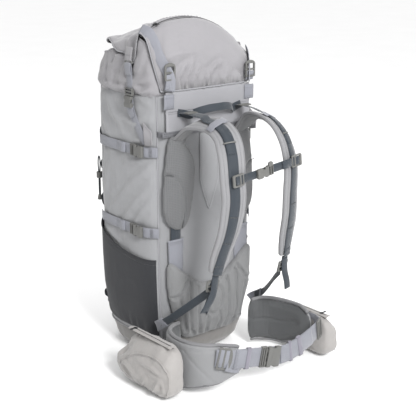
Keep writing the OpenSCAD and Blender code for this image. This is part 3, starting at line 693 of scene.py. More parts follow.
class Graph:
    """A material and its nodes."""

    def __init__(self, name, **shader):
        self.material = bpy.data.materials.new(name)
        self.material.use_nodes = True
        self.tree = self.material.node_tree
        self.shader = self.tree.nodes["Principled BSDF"]
        for key, value in shader.items():
            self.shader.inputs[key.replace("_", " ").capitalize()].default_value = value
        self.coords = self.tree.nodes.new("ShaderNodeTexCoord")

    def add(self, kind, inputs, **settings):
        node = self.tree.nodes.new(kind)
        for key, value in settings.items():
            setattr(node, key, value)
        for key, value in inputs.items():
            if isinstance(value, bpy.types.NodeSocket):
                self.tree.links.new(value, node.inputs[key])
            else:
                node.inputs[key].default_value = value
        return node

    def math(self, operation, a, b=0.0):
        return self.add("ShaderNodeMath", {0: a, 1: b}, operation=operation).outputs[0]

    def noise(self, scale, detail=3.0, vector=None):
        vector = vector or self.coords.outputs["Object"]
        node = self.add("ShaderNodeTexNoise", {"Vector": vector, "Scale": scale, "Detail": detail})
        return node.outputs["Fac"]

    def mix(self, factor, a, b):
        return self.add("ShaderNodeMix", {0: factor, 6: a, 7: b}, data_type="RGBA").outputs[2]

    def wave(self, value, pitch):
        """Sine of a length, with the given pitch in metres."""
        return self.math("SINE", self.math("MULTIPLY", value, 2 * math.pi / pitch))

    def cloth_axes(self):
        """Two lengths across the surface in object space, picked by the way the surface faces."""
        place = self.add("ShaderNodeSeparateXYZ", {0: self.coords.outputs["Object"]}).outputs
        way = self.add("ShaderNodeSeparateXYZ", {0: self.coords.outputs["Normal"]}).outputs
        ax, ay, az = [self.math("ABSOLUTE", w) for w in way]
        sideways = self.math("GREATER_THAN", ax, ay)
        level = self.math("GREATER_THAN", az, self.math("MAXIMUM", ax, ay))
        round_it = self.pick(sideways, place[0], place[1])
        return self.pick(level, round_it, place[0]), self.pick(level, place[2], place[1])

    def pick(self, switch, a, b):
        """a where the switch is 0, b where it is 1."""
        return self.math("ADD", self.math("MULTIPLY", a, self.math("SUBTRACT", 1.0, switch)),
                         self.math("MULTIPLY", b, switch))

    def bump(self, height, strength, distance, normal=None):
        inputs = {"Height": height, "Strength": strength, "Distance": distance}
        if normal is not None:
            inputs["Normal"] = normal
        return self.add("ShaderNodeBump", inputs).outputs[0]

    def finish(self, colour=None, normal=None, roughness=None):
        for key, value in (("Base Color", colour), ("Normal", normal), ("Roughness", roughness)):
            if value is not None:
                self.tree.links.new(value, self.shader.inputs[key])
        return self.material


def woven(name, code, pitch=0.0011, ripstop=0.0, roughness=0.78, sheen=0.25, crinkle=0.35):
    """Plain woven nylon: a fine weave, soft crinkles and slight changes of colour."""
    g = Graph(name, roughness=roughness)
    g.shader.inputs["Sheen Weight"].default_value = sheen
    g.shader.inputs["Sheen Roughness"].default_value = 0.5
    colour = rgb(code)
    u, v = g.cloth_axes()
    weave = g.math("MULTIPLY", g.wave(u, pitch), g.wave(v, pitch))
    large = g.noise(7.0, 2.0)
    small = g.noise(900.0, 1.0)
    base = g.mix(large, shaded(colour, 0.93), shaded(colour, 1.07))
    base = g.mix(g.math("MULTIPLY", small, 0.1), base, shaded(colour, 0.72))
    height = g.math("MULTIPLY", weave, 0.5)
    if ripstop:
        rib_u = g.math("GREATER_THAN", g.wave(u, ripstop), 0.955)
        rib_v = g.math("GREATER_THAN", g.wave(v, ripstop), 0.955)
        ribs = g.math("MAXIMUM", rib_u, rib_v)
        height = g.math("ADD", height, ribs)
        base = g.mix(g.math("MULTIPLY", ribs, 0.16), base, shaded(colour, 1.22))
    normal = g.bump(height, strength=0.25, distance=0.0003)
    folds = g.noise(26.0, 4.0)
    normal = g.bump(folds, strength=crinkle, distance=0.006, normal=normal)
    return g.finish(base, normal)


def air_mesh(name, code, cell=0.0042, contrast=0.55):
    """Spacer mesh: rows of small holes over foam."""
    g = Graph(name, roughness=0.85)
    g.shader.inputs["Sheen Weight"].default_value = 0.15
    colour = rgb(code)
    u, v = g.cloth_axes()
    spot = g.add("ShaderNodeCombineXYZ", {0: u, 1: v}).outputs[0]
    cells = g.add("ShaderNodeTexVoronoi", {"Vector": spot, "Scale": 1 / cell, "Randomness": 0.12},
                  voronoi_dimensions="2D").outputs["Distance"]
    hole = g.add("ShaderNodeMapRange", {0: cells, 1: 0.16, 2: 0.40, 3: 1.0, 4: 0.0}).outputs[0]
    large = g.noise(9.0, 2.0)
    base = g.mix(large, shaded(colour, 0.94), shaded(colour, 1.06))
    base = g.mix(g.math("MULTIPLY", hole, contrast), base, shaded(colour, 0.45))
    normal = g.bump(g.math("SUBTRACT", 1.0, hole), strength=0.6, distance=0.0008)
    normal = g.bump(g.noise(30.0, 3.0), strength=0.2, distance=0.003, normal=normal)
    return g.finish(base, normal)


def webbing(name, code, rib=0.0022):
    """Flat woven webbing: ribs along it, a fine twill across it, and slow changes of tone."""
    g = Graph(name, roughness=0.62)
    g.shader.inputs["Sheen Weight"].default_value = 0.2
    colour = rgb(code)
    uv = g.add("ShaderNodeSeparateXYZ", {0: g.coords.outputs["UV"]}).outputs
    ribs = g.wave(uv[0], rib)
    twill = g.wave(g.math("ADD", uv[1], g.math("MULTIPLY", g.math("ABSOLUTE", uv[0]), 0.7)), 0.0019)
    height = g.math("ADD", g.math("MULTIPLY", ribs, 0.5), g.math("MULTIPLY", twill, 0.6))
    tone = g.math("ADD", 0.5, g.math("MULTIPLY", height, 0.28))
    base = g.mix(tone, shaded(colour, 0.80), shaded(colour, 1.16))
    base = g.mix(g.math("MULTIPLY", g.noise(14.0, 2.0), 0.35), base, shaded(colour, 0.86))
    normal = g.bump(height, strength=0.55, distance=0.00035)
    return g.finish(base, normal)


def acetal(name, code, roughness=0.42):
    """Moulded plastic: fine grain, faint mottling, and edges rubbed a little lighter."""
    g = Graph(name, roughness=roughness)
    colour = rgb(code)
    edge = g.add("ShaderNodeNewGeometry", {}).outputs["Pointiness"]
    worn = g.add("ShaderNodeMapRange", {0: edge, 1: 0.50, 2: 0.62, 3: 0.0, 4: 0.6}).outputs[0]
    base = g.mix(g.noise(40.0, 3.0), shaded(colour, 0.93), shaded(colour, 1.05))
    base = g.mix(worn, base, shaded(colour, 1.22))
    normal = g.bump(g.noise(1400.0, 2.0), strength=0.12, distance=0.0002)
    gloss = g.add("ShaderNodeMapRange", {0: g.noise(60.0), 1: 0.3, 2: 0.7, 3: roughness - 0.07,
                                         4: roughness + 0.1})
    return g.finish(base, normal, gloss.outputs[0])


def coil(name, code):
    """Zip coil: ribs across the track."""
    g = Graph(name, roughness=0.45)
    colour = rgb(code)
    uv = g.add("ShaderNodeSeparateXYZ", {0: g.coords.outputs["UV"]}).outputs
    teeth = g.wave(uv[1], 0.0016)
    base = g.mix(g.math("ADD", 0.5, g.math("MULTIPLY", teeth, 0.5)), shaded(colour, 0.5),
                 shaded(colour, 1.8))
    return g.finish(base, g.bump(teeth, strength=0.8, distance=0.0006))


def metal(name, code):
    """Drawn aluminium bar with fine lines along it."""
    g = Graph(name, roughness=0.35, metallic=1.0)
    lines = g.noise(900.0, 2.0, g.add("ShaderNodeMapping", {0: g.coords.outputs["Object"],
                                                            3: (1, 1, 0.02)}).outputs[0])
    colour = rgb(code)
    base = g.mix(lines, shaded(colour, 0.85), shaded(colour, 1.05))
    return g.finish(base, g.bump(lines, strength=0.1, distance=0.0002))


def floor_paint(name):
    g = Graph(name, roughness=0.9)
    return g.finish(g.mix(g.noise(3.0, 2.0), (0.86, 0.86, 0.86, 1), (0.90, 0.90, 0.90, 1)))


PACKCLOTH = (woven("pack nylon", "B8B9BC", ripstop=0.0056), "packcloth")
BACKCLOTH = (woven("back panel nylon", "B0B1B4", crinkle=0.2), "packcloth")
LIDCLOTH = (woven("lid nylon", "B5B3B7", crinkle=0.45), "lidcloth")
YOKECLOTH = (woven("yoke nylon", "B8B8BD", crinkle=0.2), "lidcloth")
POUCHCLOTH = (woven("pouch nylon", "C8C4C1", crinkle=0.7, roughness=0.7), "lidcloth")
BASECLOTH = (woven("base nylon", "9C9996", pitch=0.0016, crinkle=0.4), "basecloth")
STRETCH = (woven("stretch cloth", "303238", pitch=0.0013, crinkle=0.15, sheen=0.05), "stretch")
MESH = (air_mesh("air mesh", "88898B"), "mesh")
LUMBAR = (air_mesh("lumbar mesh", "A0A1A2", cell=0.0036, contrast=0.14), "mesh")
# The belt lining is air mesh: its dark grey is partly the mesh's own colour and partly painted shade of the
# belt's inner side.
LINING_PAINTED_SHADE = (air_mesh("belt lining with painted shade", "6E7072", cell=0.003, contrast=0.2), "mesh")
WINGCLOTH = (woven("wing nylon", "ACADAF", crinkle=0.2), "mesh")
STRAPCLOTH = (woven("strap nylon", "ABABAE", crinkle=0.18), "strapcloth")
BINDING = (webbing("edge binding", "9C9C9F", rib=0.003), "strapcloth")
NAVY = (webbing("slate webbing", "233240"), "webbing_navy")
LILAC = (webbing("pale webbing", "A9ABB5"), "webbing_grey")
MAUVE = (webbing("mauve elastic", "A29FAD", rib=0.0014), "webbing_grey")
BAND = (webbing("stitched band", "84858B", rib=0.0014), "webbing_grey")
THREAD = (woven("thread", "7E7F84", pitch=0.0008, crinkle=0.0), "webbing_grey")
DARK_THREAD = (woven("dark thread", "45474B", pitch=0.0008, crinkle=0.0), "webbing_navy")
HARDWARE = (acetal("pale acetal", "7E7E7B"), "hardware")
BLACK = (acetal("black acetal", "2A2B2E", roughness=0.5), "zip")
COIL = (coil("zip coil", "3A3B3F"), "zip")
SHEET_PLASTIC = acetal("frame sheet plastic", "303134")
STAY_METAL = metal("stay aluminium", "D8DADC")


# ---------------------------------------------------------------- packbag

HALF_W = 0.165
BACK = 0.146
FRONT = 0.156
WIDTH_SHARE = [[0, 0.66], [8, 0.76], [25, 0.85], [60, 0.91], [100, 0.945], [170, 0.985], [250, 1], [700, 1],
               [780, 0.97]]
BACK_SHARE = [[0, 0.70], [8, 0.80], [25, 0.89], [60, 0.94], [100, 0.97], [170, 1], [700, 1], [780, 0.96]]
FRONT_SHARE = [[0, 0.62], [8, 0.72], [25, 0.82], [60, 0.90], [100, 0.95], [170, 1], [700, 1], [780, 0.96]]
BACK_SQUARE = 5
FRONT_SQUARE = 3
PANEL_LOW = 0.0665
PANEL_TOP = 0.690


def bag_point(z, angle, out=0.0):
    """Point of the packbag's outline at height z and angle in degrees (-90 is the back), moved out."""
    z, angle, out = np.broadcast_arrays(np.asarray(z, float), np.asarray(angle, float),
                                        np.asarray(out, float))
    c, s = np.cos(np.radians(angle)), np.sin(np.radians(angle))
    square = np.where(s < 0, BACK_SQUARE, FRONT_SQUARE)
    h = z * 1000
    back, front = BACK * lookup(h, BACK_SHARE), FRONT * lookup(h, FRONT_SHARE)
    x = (HALF_W * lookup(h, WIDTH_SHARE) + out) * np.sign(c) * np.abs(c) ** (2 / square)
    y = (np.where(s < 0, back, front) + out) * np.sign(s) * np.abs(s) ** (2 / square)
    return np.stack([x, y, z], axis=-1)


def even_angles(start, end, count):
    """Angles whose points on the outline are evenly spaced."""
    dense = np.linspace(start, end, 40001)
    s = lengths(bag_point(0.4, dense))
    return np.interp(np.linspace(0, s[-1], count), s, dense)


STRAP_ROWS = ((559, -74), (356, -66))

SIDE_FOLDS = [
    ([[166, -128, 528], [166, -60, 480], [166, 55, 372]], 9, 5.0),
    ([[166, -132, 486], [166, -70, 430], [166, 10, 345]], 8, 4.2),
    ([[166, -126, 444], [166, -85, 400], [166, -40, 344]], 8, 3.8),
    ([[166, 50, 498], [166, 66, 440], [166, 80, 386]], 9, 3.4),
    ([[166, -134, 548], [166, -85, 534], [166, -20, 520]], 6, 3.4),
    ([[166, -130, 640], [166, -60, 620], [166, 30, 640]], 12, 4.0),
    ([[166, -132, 668], [166, -80, 690], [166, -30, 684]], 8, 5.0),
    ([[166, 60, 676], [166, 20, 640], [166, -20, 600]], 11, 4.0),
    ([[166, 90, 640], [166, 60, 600], [166, 40, 572]], 9, 3.6),
    ([[166, -126, 600], [166, -90, 586], [166, -50, 574]], 6, 3.4),
    ([[166, -128, 612], [166, -140, 590], [160, -146, 566]], 5, 4.0),
    ([[166, -96, 610], [166, -118, 596], [166, -136, 570]], 5, 3.6),
    ([[160, 80, 330], [166, 40, 318], [166, 0, 300]], 8, 3.0),
    ([[166, 84, 560], [166, 70, 530], [166, 74, 505]], 7, 3.4),
]


def on_side(folds, side):
    return [([[side * p[0], p[1], p[2]] for p in line], width, height) for line, width, height in folds]


def bag_relief(points):
    """How far the packbag's cloth stands proud: soft swelling between the straps, folds and crumples."""
    z = points[..., 2] * 1000
    swell = 3.4 * np.abs(np.sin(np.pi * lookup(z, [[70, 0], [356, 1], [559, 2], [690, 3]])))
    for height, _ in STRAP_ROWS:
        swell -= 3.6 * np.exp(-(((z - height) / 15) ** 2))
    swell -= 4.0 * ease(z, 668, 694)
    x, y = points[..., 0], points[..., 1]
    at_side = ease(np.abs(x), 0.135, 0.16)
    swell = swell * (0.35 + 0.65 * at_side)
    behind = ease(-y, 0.125, 0.142)
    rough = crumple(points * [1, 1, 0.6], size=0.055, seed=3) * 2.4
    rough = rough + crumple(points, size=0.023, seed=9) * 0.8
    low = 1 - ease(z, 60, 110)
    return (swell + rough * (1 - behind * 0.75)) / 1000 * (1 - low)


def panel(name, start, end, node, folds, look=PACKCLOTH):
    angles = even_angles(start, end, 92)
    rows = np.linspace(PANEL_LOW, PANEL_TOP + 0.004, 170)
    points = bag_point(rows[:, None], angles[None])
    normal = grid_normals(points)
    edge = np.minimum(np.arange(92), 91 - np.arange(92)) / 6.0
    sewn = np.clip(edge, 0, 1)[None]
    lift = (bag_relief(points) + fold_height(points, folds)) * (0.15 + 0.85 * sewn)
    front_cover = ease(points[..., 1], 0.10, 0.13)
    lift = np.where(lift > 0, lift * (1 - 0.8 * front_cover), lift)
    piece(name, grid(points + normal * lift[..., None]), look, nodes=[node], thick=0.0025)


def packbag():
    right, left = on_side(SIDE_FOLDS, -1), on_side(SIDE_FOLDS, 1)
    panel("back_cloth", -135, -45, "back_panel", [], BACKCLOTH)
    panel("front_cloth", 45, 135, "front_panel", [])
    panel("side_cloth_right", 135, 225, "side_panel_right", right)
    panel("side_cloth_left", -45, 45, "side_panel_left", left)
    seams = []
    for angle in (-135, -45, 45, 135):
        z = np.linspace(0.068, 0.694, 60)
        seams.append(tube(bag_point(z, angle, 0.0006), 0.0019, count=8))
    piece("packbag_seams", merged(seams), (YOKECLOTH[0], "packcloth"))


def base():
    """Bottom panel: a bowl of heavier cloth, creased round its corners, with a taped upper edge."""
    z = np.array([0.070, 0.062, 0.054, 0.046, 0.038, 0.031, 0.024, 0.018, 0.012, 0.008, 0.005, 0.002,
                  0.0008])
    angles = even_angles(-180, 180, 161)[:-1]
    points = bag_point(z[:, None], angles[None])
    normal = grid_normals(points, wrap=True)
    lift = crumple(points, size=0.03, seed=21) * 0.0018 * ease(z, 0.006, 0.03)[:, None]
    points = points + normal * lift[..., None]
    inner = []
    for share in (0.93, 0.8, 0.6, 0.35, 0.1):
        ring_points = points[-1] * [share, share, 0] + [0, 0, 0.0002]
        inner.append(ring_points)
    points = np.concatenate([points, np.array(inner)])[::-1]
    piece("base_cloth", grid(points, wrap=True), BASECLOTH, nodes=["bottom_panel"], thick=0.002)
    tape = bag_point(0.069, angles, 0.0009)
    piece("base_piping", ring(tape, 0.0024), (BINDING[0], "basecloth"))


def turn(angle):
    """Angle past the side plane: -90 at the back, 90 at the front."""
    return np.degrees(np.arcsin(np.sin(np.radians(angle))))


def front_right(angle):
    """1 at the front right corner of the bag, where it narrows towards its mouth, and 0 elsewhere."""
    t = turn(angle)
    return (np.cos(np.radians(angle)) < 0) * ease(t, -15, 20) * (1 - ease(t, 62, 88))


def notch_open(angle, z):
    """1 where the collar shows between the lid's flap and its rear part, and 0 under the lid."""
    t = turn(angle)
    right = np.cos(np.radians(angle)) < 0
    gap = lid_rim(angle) / 1000 - z
    return right * ease(t, -58, -46) * ease(gap, 0.000, 0.014)


COLLAR_RISE = [[-90, 0], [-45, 8], [-30, 44], [-15, 58], [-7.5, 50], [0, 28], [20, 12], [60, 0]]
LEFT_DIP = 8
COLLAR_FOLD_GAIN = 1.3
COLLAR_TOP = 772
COLLAR_FOLDS = [
    ([[-160, -120, 735], [-164, -70, 722], [-162, -10, 728]], 8, 6.0),
    ([[-160, -126, 716], [-164, -95, 700], [-165, -66, 712]], 7, 6.5),
    ([[-160, -20, 792], [-162, 10, 765], [-162, 42, 728]], 9, 6.0),
    ([[-158, 46, 770], [-162, 30, 730], [-164, 36, 698]], 8, 5.5),
    ([[-158, -60, 790], [-162, -30, 752], [-164, -20, 712]], 8, 5.0),
    ([[-156, -100, 800], [-160, -82, 770], [-163, -80, 742]], 8, 4.5),
    ([[-158, 60, 742], [-150, 90, 715], [-130, 118, 708]], 9, 5.0),
    ([[-164, 56, 708], [-165, 20, 699], [-165, -20, 704]], 6, 6.0),
]


def collar():
    angles = even_angles(-180, 180, 321)[:-1]
    share = np.linspace(0, 1, 60)[:, None]
    right = np.cos(np.radians(angles)) < 0
    rise = np.where(right, lookup(turn(angles), COLLAR_RISE), -LEFT_DIP * np.cos(np.radians(angles)))
    top = (COLLAR_TOP + rise) / 1000
    low = PANEL_TOP + 0.001
    z = low + (top[None] - low) * share
    free = notch_open(angles[None], z)
    hidden = -0.0045 - np.maximum(z - 0.72, 0) * 0.10
    inset = hidden * (1 - free) + 0.001 * free
    points = bag_point(z, angles[None], inset)
    under = ease(z - lid_rim(angles)[None] / 1000, -0.016, 0.004)
    draw = 0.045 * ease(z, 0.700, 0.790) + 0.09 * under
    points[..., :2] *= 1 - (draw * front_right(angles)[None])[..., None]
    normal = grid_normals(points, wrap=True)
    tuck = -0.0035 * np.exp(-(((share - 0.02) / 0.05) ** 2))
    belly = 0.006 * np.sin(np.pi * share ** 0.8) * np.abs(np.cos(np.radians(angles)))[None] ** 0.3
    folds = fold_height(points, COLLAR_FOLDS) * COLLAR_FOLD_GAIN
    rough = crumple(points * [1, 1, 0.8], size=0.045, seed=31) * 0.0040
    cover = ease(np.abs(points[..., 1]), 0.118, 0.14)
    lift = tuck + belly * (1 - cover * 0.9) + (folds + rough) * (1 - 0.7 * cover)
    limit = -0.002 + 0.009 * free
    points = points + normal * np.minimum(lift, limit)[..., None]
    cloth = piece("collar_cloth", grid(points, wrap=True), LIDCLOTH, nodes=["extension_collar"],
                  thick=0.0018)
    hem = piece("collar_hem", ring(points[-1] * 0.998, 0.0024), LIDCLOTH)


# ---------------------------------------------------------------- pockets

POCKET_TURN = 47


def pocket_edge(share):
    return (284 + 62 * share * share) / 1000


def bottle_pocket(name, side):
    """Stretch pocket round a lower corner: tight at its seams, hollow at its mouth, with a sewn hem."""
    rows, cols = 70, 90
    if side > 0:
        angles = even_angles(-40, POCKET_TURN, cols)
    else:
        angles = even_angles(180 - POCKET_TURN, 220, cols)
    lengthwise = np.linspace(0, 1, cols)
    share = lengthwise if side > 0 else 1 - lengthwise
    rise = np.linspace(0, 1, rows)[:, None]
    z = 0.080 + (pocket_edge(share)[None] - 0.080) * rise
    swell = np.sin(np.pi * lengthwise)[None] ** 0.7 * np.sin(np.pi / 2 * rise) ** 0.6
    points = bag_point(z, angles[None], 0.0016 + 0.0105 * swell)
    normal = grid_normals(points)
    foot = 1 - ease(z, 0.085, 0.135)
    waves = np.sin(lengthwise * 34 + 3 * np.sin(lengthwise * 9))[None]
    ripple = 0.0016 * waves * foot * ease(z, 0.081, 0.09)
    hem = 0.0009 * np.exp(-((np.abs(rise - 0.945) / 0.006) ** 2))
    rough = crumple(points * [1, 1, 0.7], size=0.06, seed=44) * 0.0016 * np.sin(np.pi * lengthwise)[None]
    points = points + normal * (ripple + rough - hem)[..., None]
    cloth = piece(name + "_cloth", grid(points), STRETCH, nodes=[name], thick=0.0014)
    edge = points[-1] + normal[-1] * 0.0004
    rim = piece(name + "_binding", tube(edge, 0.0016, count=8), STRETCH)
    sewn = int(rows * 0.94)
    stitch = points[sewn] + normal[sewn] * 0.0002
    row = piece(name + "_stitching", dashes(stitch, normal[sewn]), (DARK_THREAD[0], "stretch"))


FRONT_ZIP_Z = 0.442


def front_pocket():
    """Flat bellows pocket in two swollen parts, with a covered zip between them."""
    parts = []
    for low, high, depth in ((120, 438.5, 13.0), (445.5, 476, 12.5)):
        rows = max(10, int((high - low) / 5))
        angles = even_angles(64, 116, 60)
        z = np.linspace(low, high, rows)[:, None] / 1000
        f, g = np.linspace(0, 1, 60)[None], np.linspace(0, 1, rows)[:, None]
        across = 1 - np.abs(2 * f - 1) ** 7
        upright = 1 - np.abs(2 * g - 1) ** (9 if high - low > 100 else 4)
        body = (across * upright) ** 0.5
        outer = bag_point(z, angles[None], 0.0016 + (depth / 1000 - 0.0016) * body)
        inner = bag_point(z, angles[None], 0.0012)
        normal = grid_normals(outer)
        rough = crumple(outer * [1, 1, 0.7], size=0.05, seed=51) * 0.0022 * body - 0.001 * body
        outer = outer + normal * rough[..., None]
        parts.append(pillow(outer, inner))
    piece("front_pocket_cloth", merged(parts), LIDCLOTH, nodes=["front_pocket"])
    angles = even_angles(65, 115, 80)
    track = bag_point(FRONT_ZIP_Z, angles, 0.009)
    piece("front_pocket_tape", ribbon(track, (0, 0, 1), 0.012), (STRETCH[0], "zip"))
    track = bag_point(FRONT_ZIP_Z, angles, 0.0105)
    piece("front_pocket_coil", ribbon(track, (0, 0, 1), 0.0045, thickness=0.002, spacing=0.002), COIL)


# ---------------------------------------------------------------- straps on the front of the packbag

CHAIN_X = 112
CHAIN_TURN = 28
CHAIN_LOOPS = ((250, 40), (310, 46), (384, 52), (478, 42), (562, 54))


def corner_matrix(side, z):
    """Frame on a front corner of the packbag: X across the webbing, Y away from the cloth."""
    y = 1000 * FRONT * (1 - (CHAIN_X / 165) ** FRONT_SQUARE) ** (1 / FRONT_SQUARE)
    return place_matrix(side * CHAIN_X, y, z, rz=-side * CHAIN_TURN)


def loop_path(height, depth):
    """Side view of a daisy loop: flat against the cloth at its ends and bowed out in the middle."""
    h, low = height / 2, 4.4
    run = smooth([[0, low, -h - 9], [0, low, -h + 2], [0, low + depth * 0.8, -h * 0.55], [0, low + depth, 0],
                  [0, low + depth * 0.8, h * 0.55], [0, low, h - 2], [0, low, h + 9]], 6)
    return run / 1000


def daisy_chains():
    straps, stitches = [], []
    for _, side in SIDES:
        for z, height in CHAIN_LOOPS + ((118, 34),):
            m = corner_matrix(side, z)
            path = loop_path(height - 4, 9.5)
            straps.append(moved(ribbon(path, (1, 0, 0), 0.018), m))
            for end in (-1, 1):
                at = end * (height / 2 + 2)
                for dz in (-3, -1, 1, 3):
                    row = mm([[-7, 5.6, at + dz], [7, 5.6, at + dz]])
                    stitches.append(moved(dashes(row, (0, 1, 0)), m))
        spine = mm([[0, 3.2, 92], [0, 3.2, 300], [0, 3.2, 450], [0, 3.2, 606]])
        strip = ribbon(spine, (1, 0, 0), 0.018, thickness=0.0014, spacing=0.01)
        straps.append(moved(strip, corner_matrix(side, 0)))
    piece("daisy_webbing", merged(straps), NAVY, nodes=["daisy_chains"])
    piece("daisy_stitching", merged(stitches), DARK_THREAD)


CORD_OFF = 24


def tool_cords():
    """Elastic loop on each front corner, its barrel lock, and a moulded end."""
    cords, ends = [], []
    for name, side in SIDES:
        m = corner_matrix(side, 0)
        half = [[-3, CORD_OFF, 386], [-3.2, CORD_OFF, 420], [-3.2, CORD_OFF, 452], [-5.4, CORD_OFF, 476]]
        top = [[-3.6, CORD_OFF, 491], [0, CORD_OFF, 496], [3.6, CORD_OFF, 491]]
        other = [[-p[0], p[1], p[2]] for p in half[::-1]]
        cords.append(moved(tube(smooth(half + top + other, 8) / 1000, 0.0016), m))
        profile = [[0, 6.0], [2, 6.6], [9, 5.2], [13, 4.4], [14, 3.0]]
        ends.append(moved(lathe([(r, z) for z, r in profile], (0, CORD_OFF, 378)), m))
        barrel = [(3.9, 0), (7.4, 0), (8.0, 1.2), (7.6, 4), (7.6, 12), (8.0, 14.8), (7.4, 16), (3.9, 16)]
        lock = moved(lathe(barrel, (0, CORD_OFF, 438), closed=True), m)
        piece(f"cord_barrel_{name}_hardware", lock, HARDWARE, f"cord_lock_{name}", [f"cord_lock_{name}"])
    piece("tool_cord_loops", merged(cords), (NAVY[0], "zip"), nodes=["tool_cords"])
    piece("tool_cord_ends_hardware", merged(ends), (HARDWARE[0], "zip"))


def lathe(profile, origin, closed=False):
    """Round solid from rows of (radius, height) in mm, standing on origin; closed joins last to first."""
    count = 24
    a = np.arange(count) * 2 * np.pi / count
    rows = [[[r * math.cos(t), r * math.sin(t), z] for t in a] for r, z in profile]
    points = (np.array(rows, float) + origin) / 1000
    faces = grid_faces(len(profile), count, wrap=True)
    last = (len(profile) - 1) * count
    if closed:
        faces += [[last + j, last + (j + 1) % count, (j + 1) % count, j] for j in range(count)]
    else:
        faces.append(list(range(count))[::-1])
        faces.append([last + j for j in range(count)])
    return shape(points, faces)


def bottom_straps():
    straps = []
    for angle in (56, 65, 115, 124):
        z = mm([90, 80, 70, 56, 42, 28, 18, 11])
        path = bag_point(z, angle, 0.0052 + 0.001 * np.sin(z * 60))
        straps.append(ribbon(path, (1, 0, 0), 0.015))
    piece("bottom_webbing", merged(straps), (STRETCH[0], "stretch"), nodes=["bottom_straps"])


# ---------------------------------------------------------------- buckles
# A side-release buckle lies along +X: plug at -X, width along Y, and Z points away from the bag.

WEB_Z = 2.6
ARM_Z = 4.8
ARM_T = 3
ARM_L = 17
GAP = 0.5


def socket_shape(w, length, depth):
    """Female half: two plates and side walls round the arms' space, windows, and a bar for the webbing."""
    low, top = WEB_Z + 1.1, WEB_Z + 9.1
    half = w / 2 + 2
    window = (depth / 2, depth - 1.0)
    dent = 3.4

    def outline(shrink):
        h = half - shrink
        right = [(0.6, h - 1.2), (1.8, h), (window[0] - 1.2, h), (window[0], h - 1.2),
                 (window[0] + 0.6, h - dent)]
        right += [(window[1] - 0.6, h - dent), (window[1], h - 1.2), (window[1] + 1.2, h)]
        right += [(length - 4, h), (length - 1.4, h - 1.2), (length - 0.2, h - 4)]
        return right + [(x, -y) for x, y in right[::-1]]

    cavity = (ARM_Z - GAP, ARM_Z + ARM_T + GAP)
    parts = [moulding([outline(0)], cavity[1] + 0.1, top, 1.3)]
    parts.append(moulding([outline(0.4)], low, cavity[0] - 0.1, 0.25))
    rail = half - 3.8
    for s in (-1, 1):
        for x0, x1 in ((0.3, window[0] - 0.4), (window[1] + 0.4, depth + 4.5)):
            box = rounded((x0 + x1) / 2, s * (rail + half - 0.3) / 2, x1 - x0, half - 0.3 - rail, 0.8, 2)
            parts.append(moulding([box], low + 0.1, top - 0.4, 0.5))
    start = depth + 3.6
    back = rounded((start + length) / 2, 0, length - start, 2 * half - 0.6, 2.5)
    slot = rounded(length - 5.2, 0, 3.6, w - 1, 1.5)
    parts.append(moulding([back, slot], low, top - 0.3, 1.0))
    ridge = rounded(depth * 0.62, 0, 2.0, w * 0.45, 0.9)
    parts.append(moulding([ridge], top - 0.6, top + 0.35, 0.4))
    return merged(parts)


def plug_shape(w, depth):
    """Male half: a frame that the webbing threads through, two sprung arms and a middle tongue."""
    half = w / 2 + 2
    top = ARM_Z + ARM_T
    frame_out = rounded(-10, 0, 18, 2 * half, 2.2)
    slots = [rounded(-14.6, 0, 3.4, w - 0.5, 1.4), rounded(-7.4, 0, 3.4, w - 0.5, 1.4)]
    parts = [moulding([frame_out] + slots, 3.9, top, 0.9)]
    for s in (-1, 1):
        wall = rounded(-10, s * (half - 0.85), 17.6, 1.6, 0.7, 2)
        parts.append(moulding([wall], 0.4, top - 0.5, 0.4))
    for x in (-17.2, -2.8):
        parts.append(moulding([rounded(x, 0, 3.2, 2 * half - 0.4, 1.2)], 0.3, 1.35, 0.4))
    arm_w = w / 5
    for s in (-1, 1):
        mid = s * (w / 2 - 2 - GAP - arm_w / 2)
        inner, outer = mid - s * arm_w / 2, mid + s * arm_w / 2
        arm = [(-2, inner), (depth * 0.8, inner), (depth, inner + s * arm_w * 0.45),
               (depth, outer - s * 0.8)]
        arm += [(depth - 1.2, outer), (depth * 0.42, outer), (depth * 0.36, outer - s * 1.2),
                (-2, outer - s * 1.4)]
        parts.append(moulding([arm], ARM_Z, top, 0.7))
    parts.append(moulding([rounded(depth / 2 - 2.2, 0, depth + 0.5, 4, 1.6)], ARM_Z + 0.2, top - 0.2, 0.7))
    return merged(parts)


def link_shape(w, length, thick, bar):
    """Flat adjuster with two slots: X across the webbing, Y along it."""
    slot = (length - 3 * bar) / 2
    outline = rounded(0, 0, w, length, 3.2)
    holes = [rounded(0, s * (slot + bar) / 2, w - 2 * bar, slot, 1.4) for s in (-1, 1)]
    parts = [moulding([outline] + holes, -thick / 2, thick / 2, min(1.1, thick * 0.3))]
    for s in (-1, 1):
        lip = rounded(0, s * (length / 2 - bar / 2), w - 7, bar * 0.5, 0.9, 2)
        parts.append(moulding([lip], thick / 2 - 0.4, thick / 2 + 0.7, 0.5))
    return merged(parts)


def side_matrix(side, y, z):
    return axes_matrix((side * 165.5, y, z), (0, -1, 0), (0, 0, -side), (side, 0, 0))


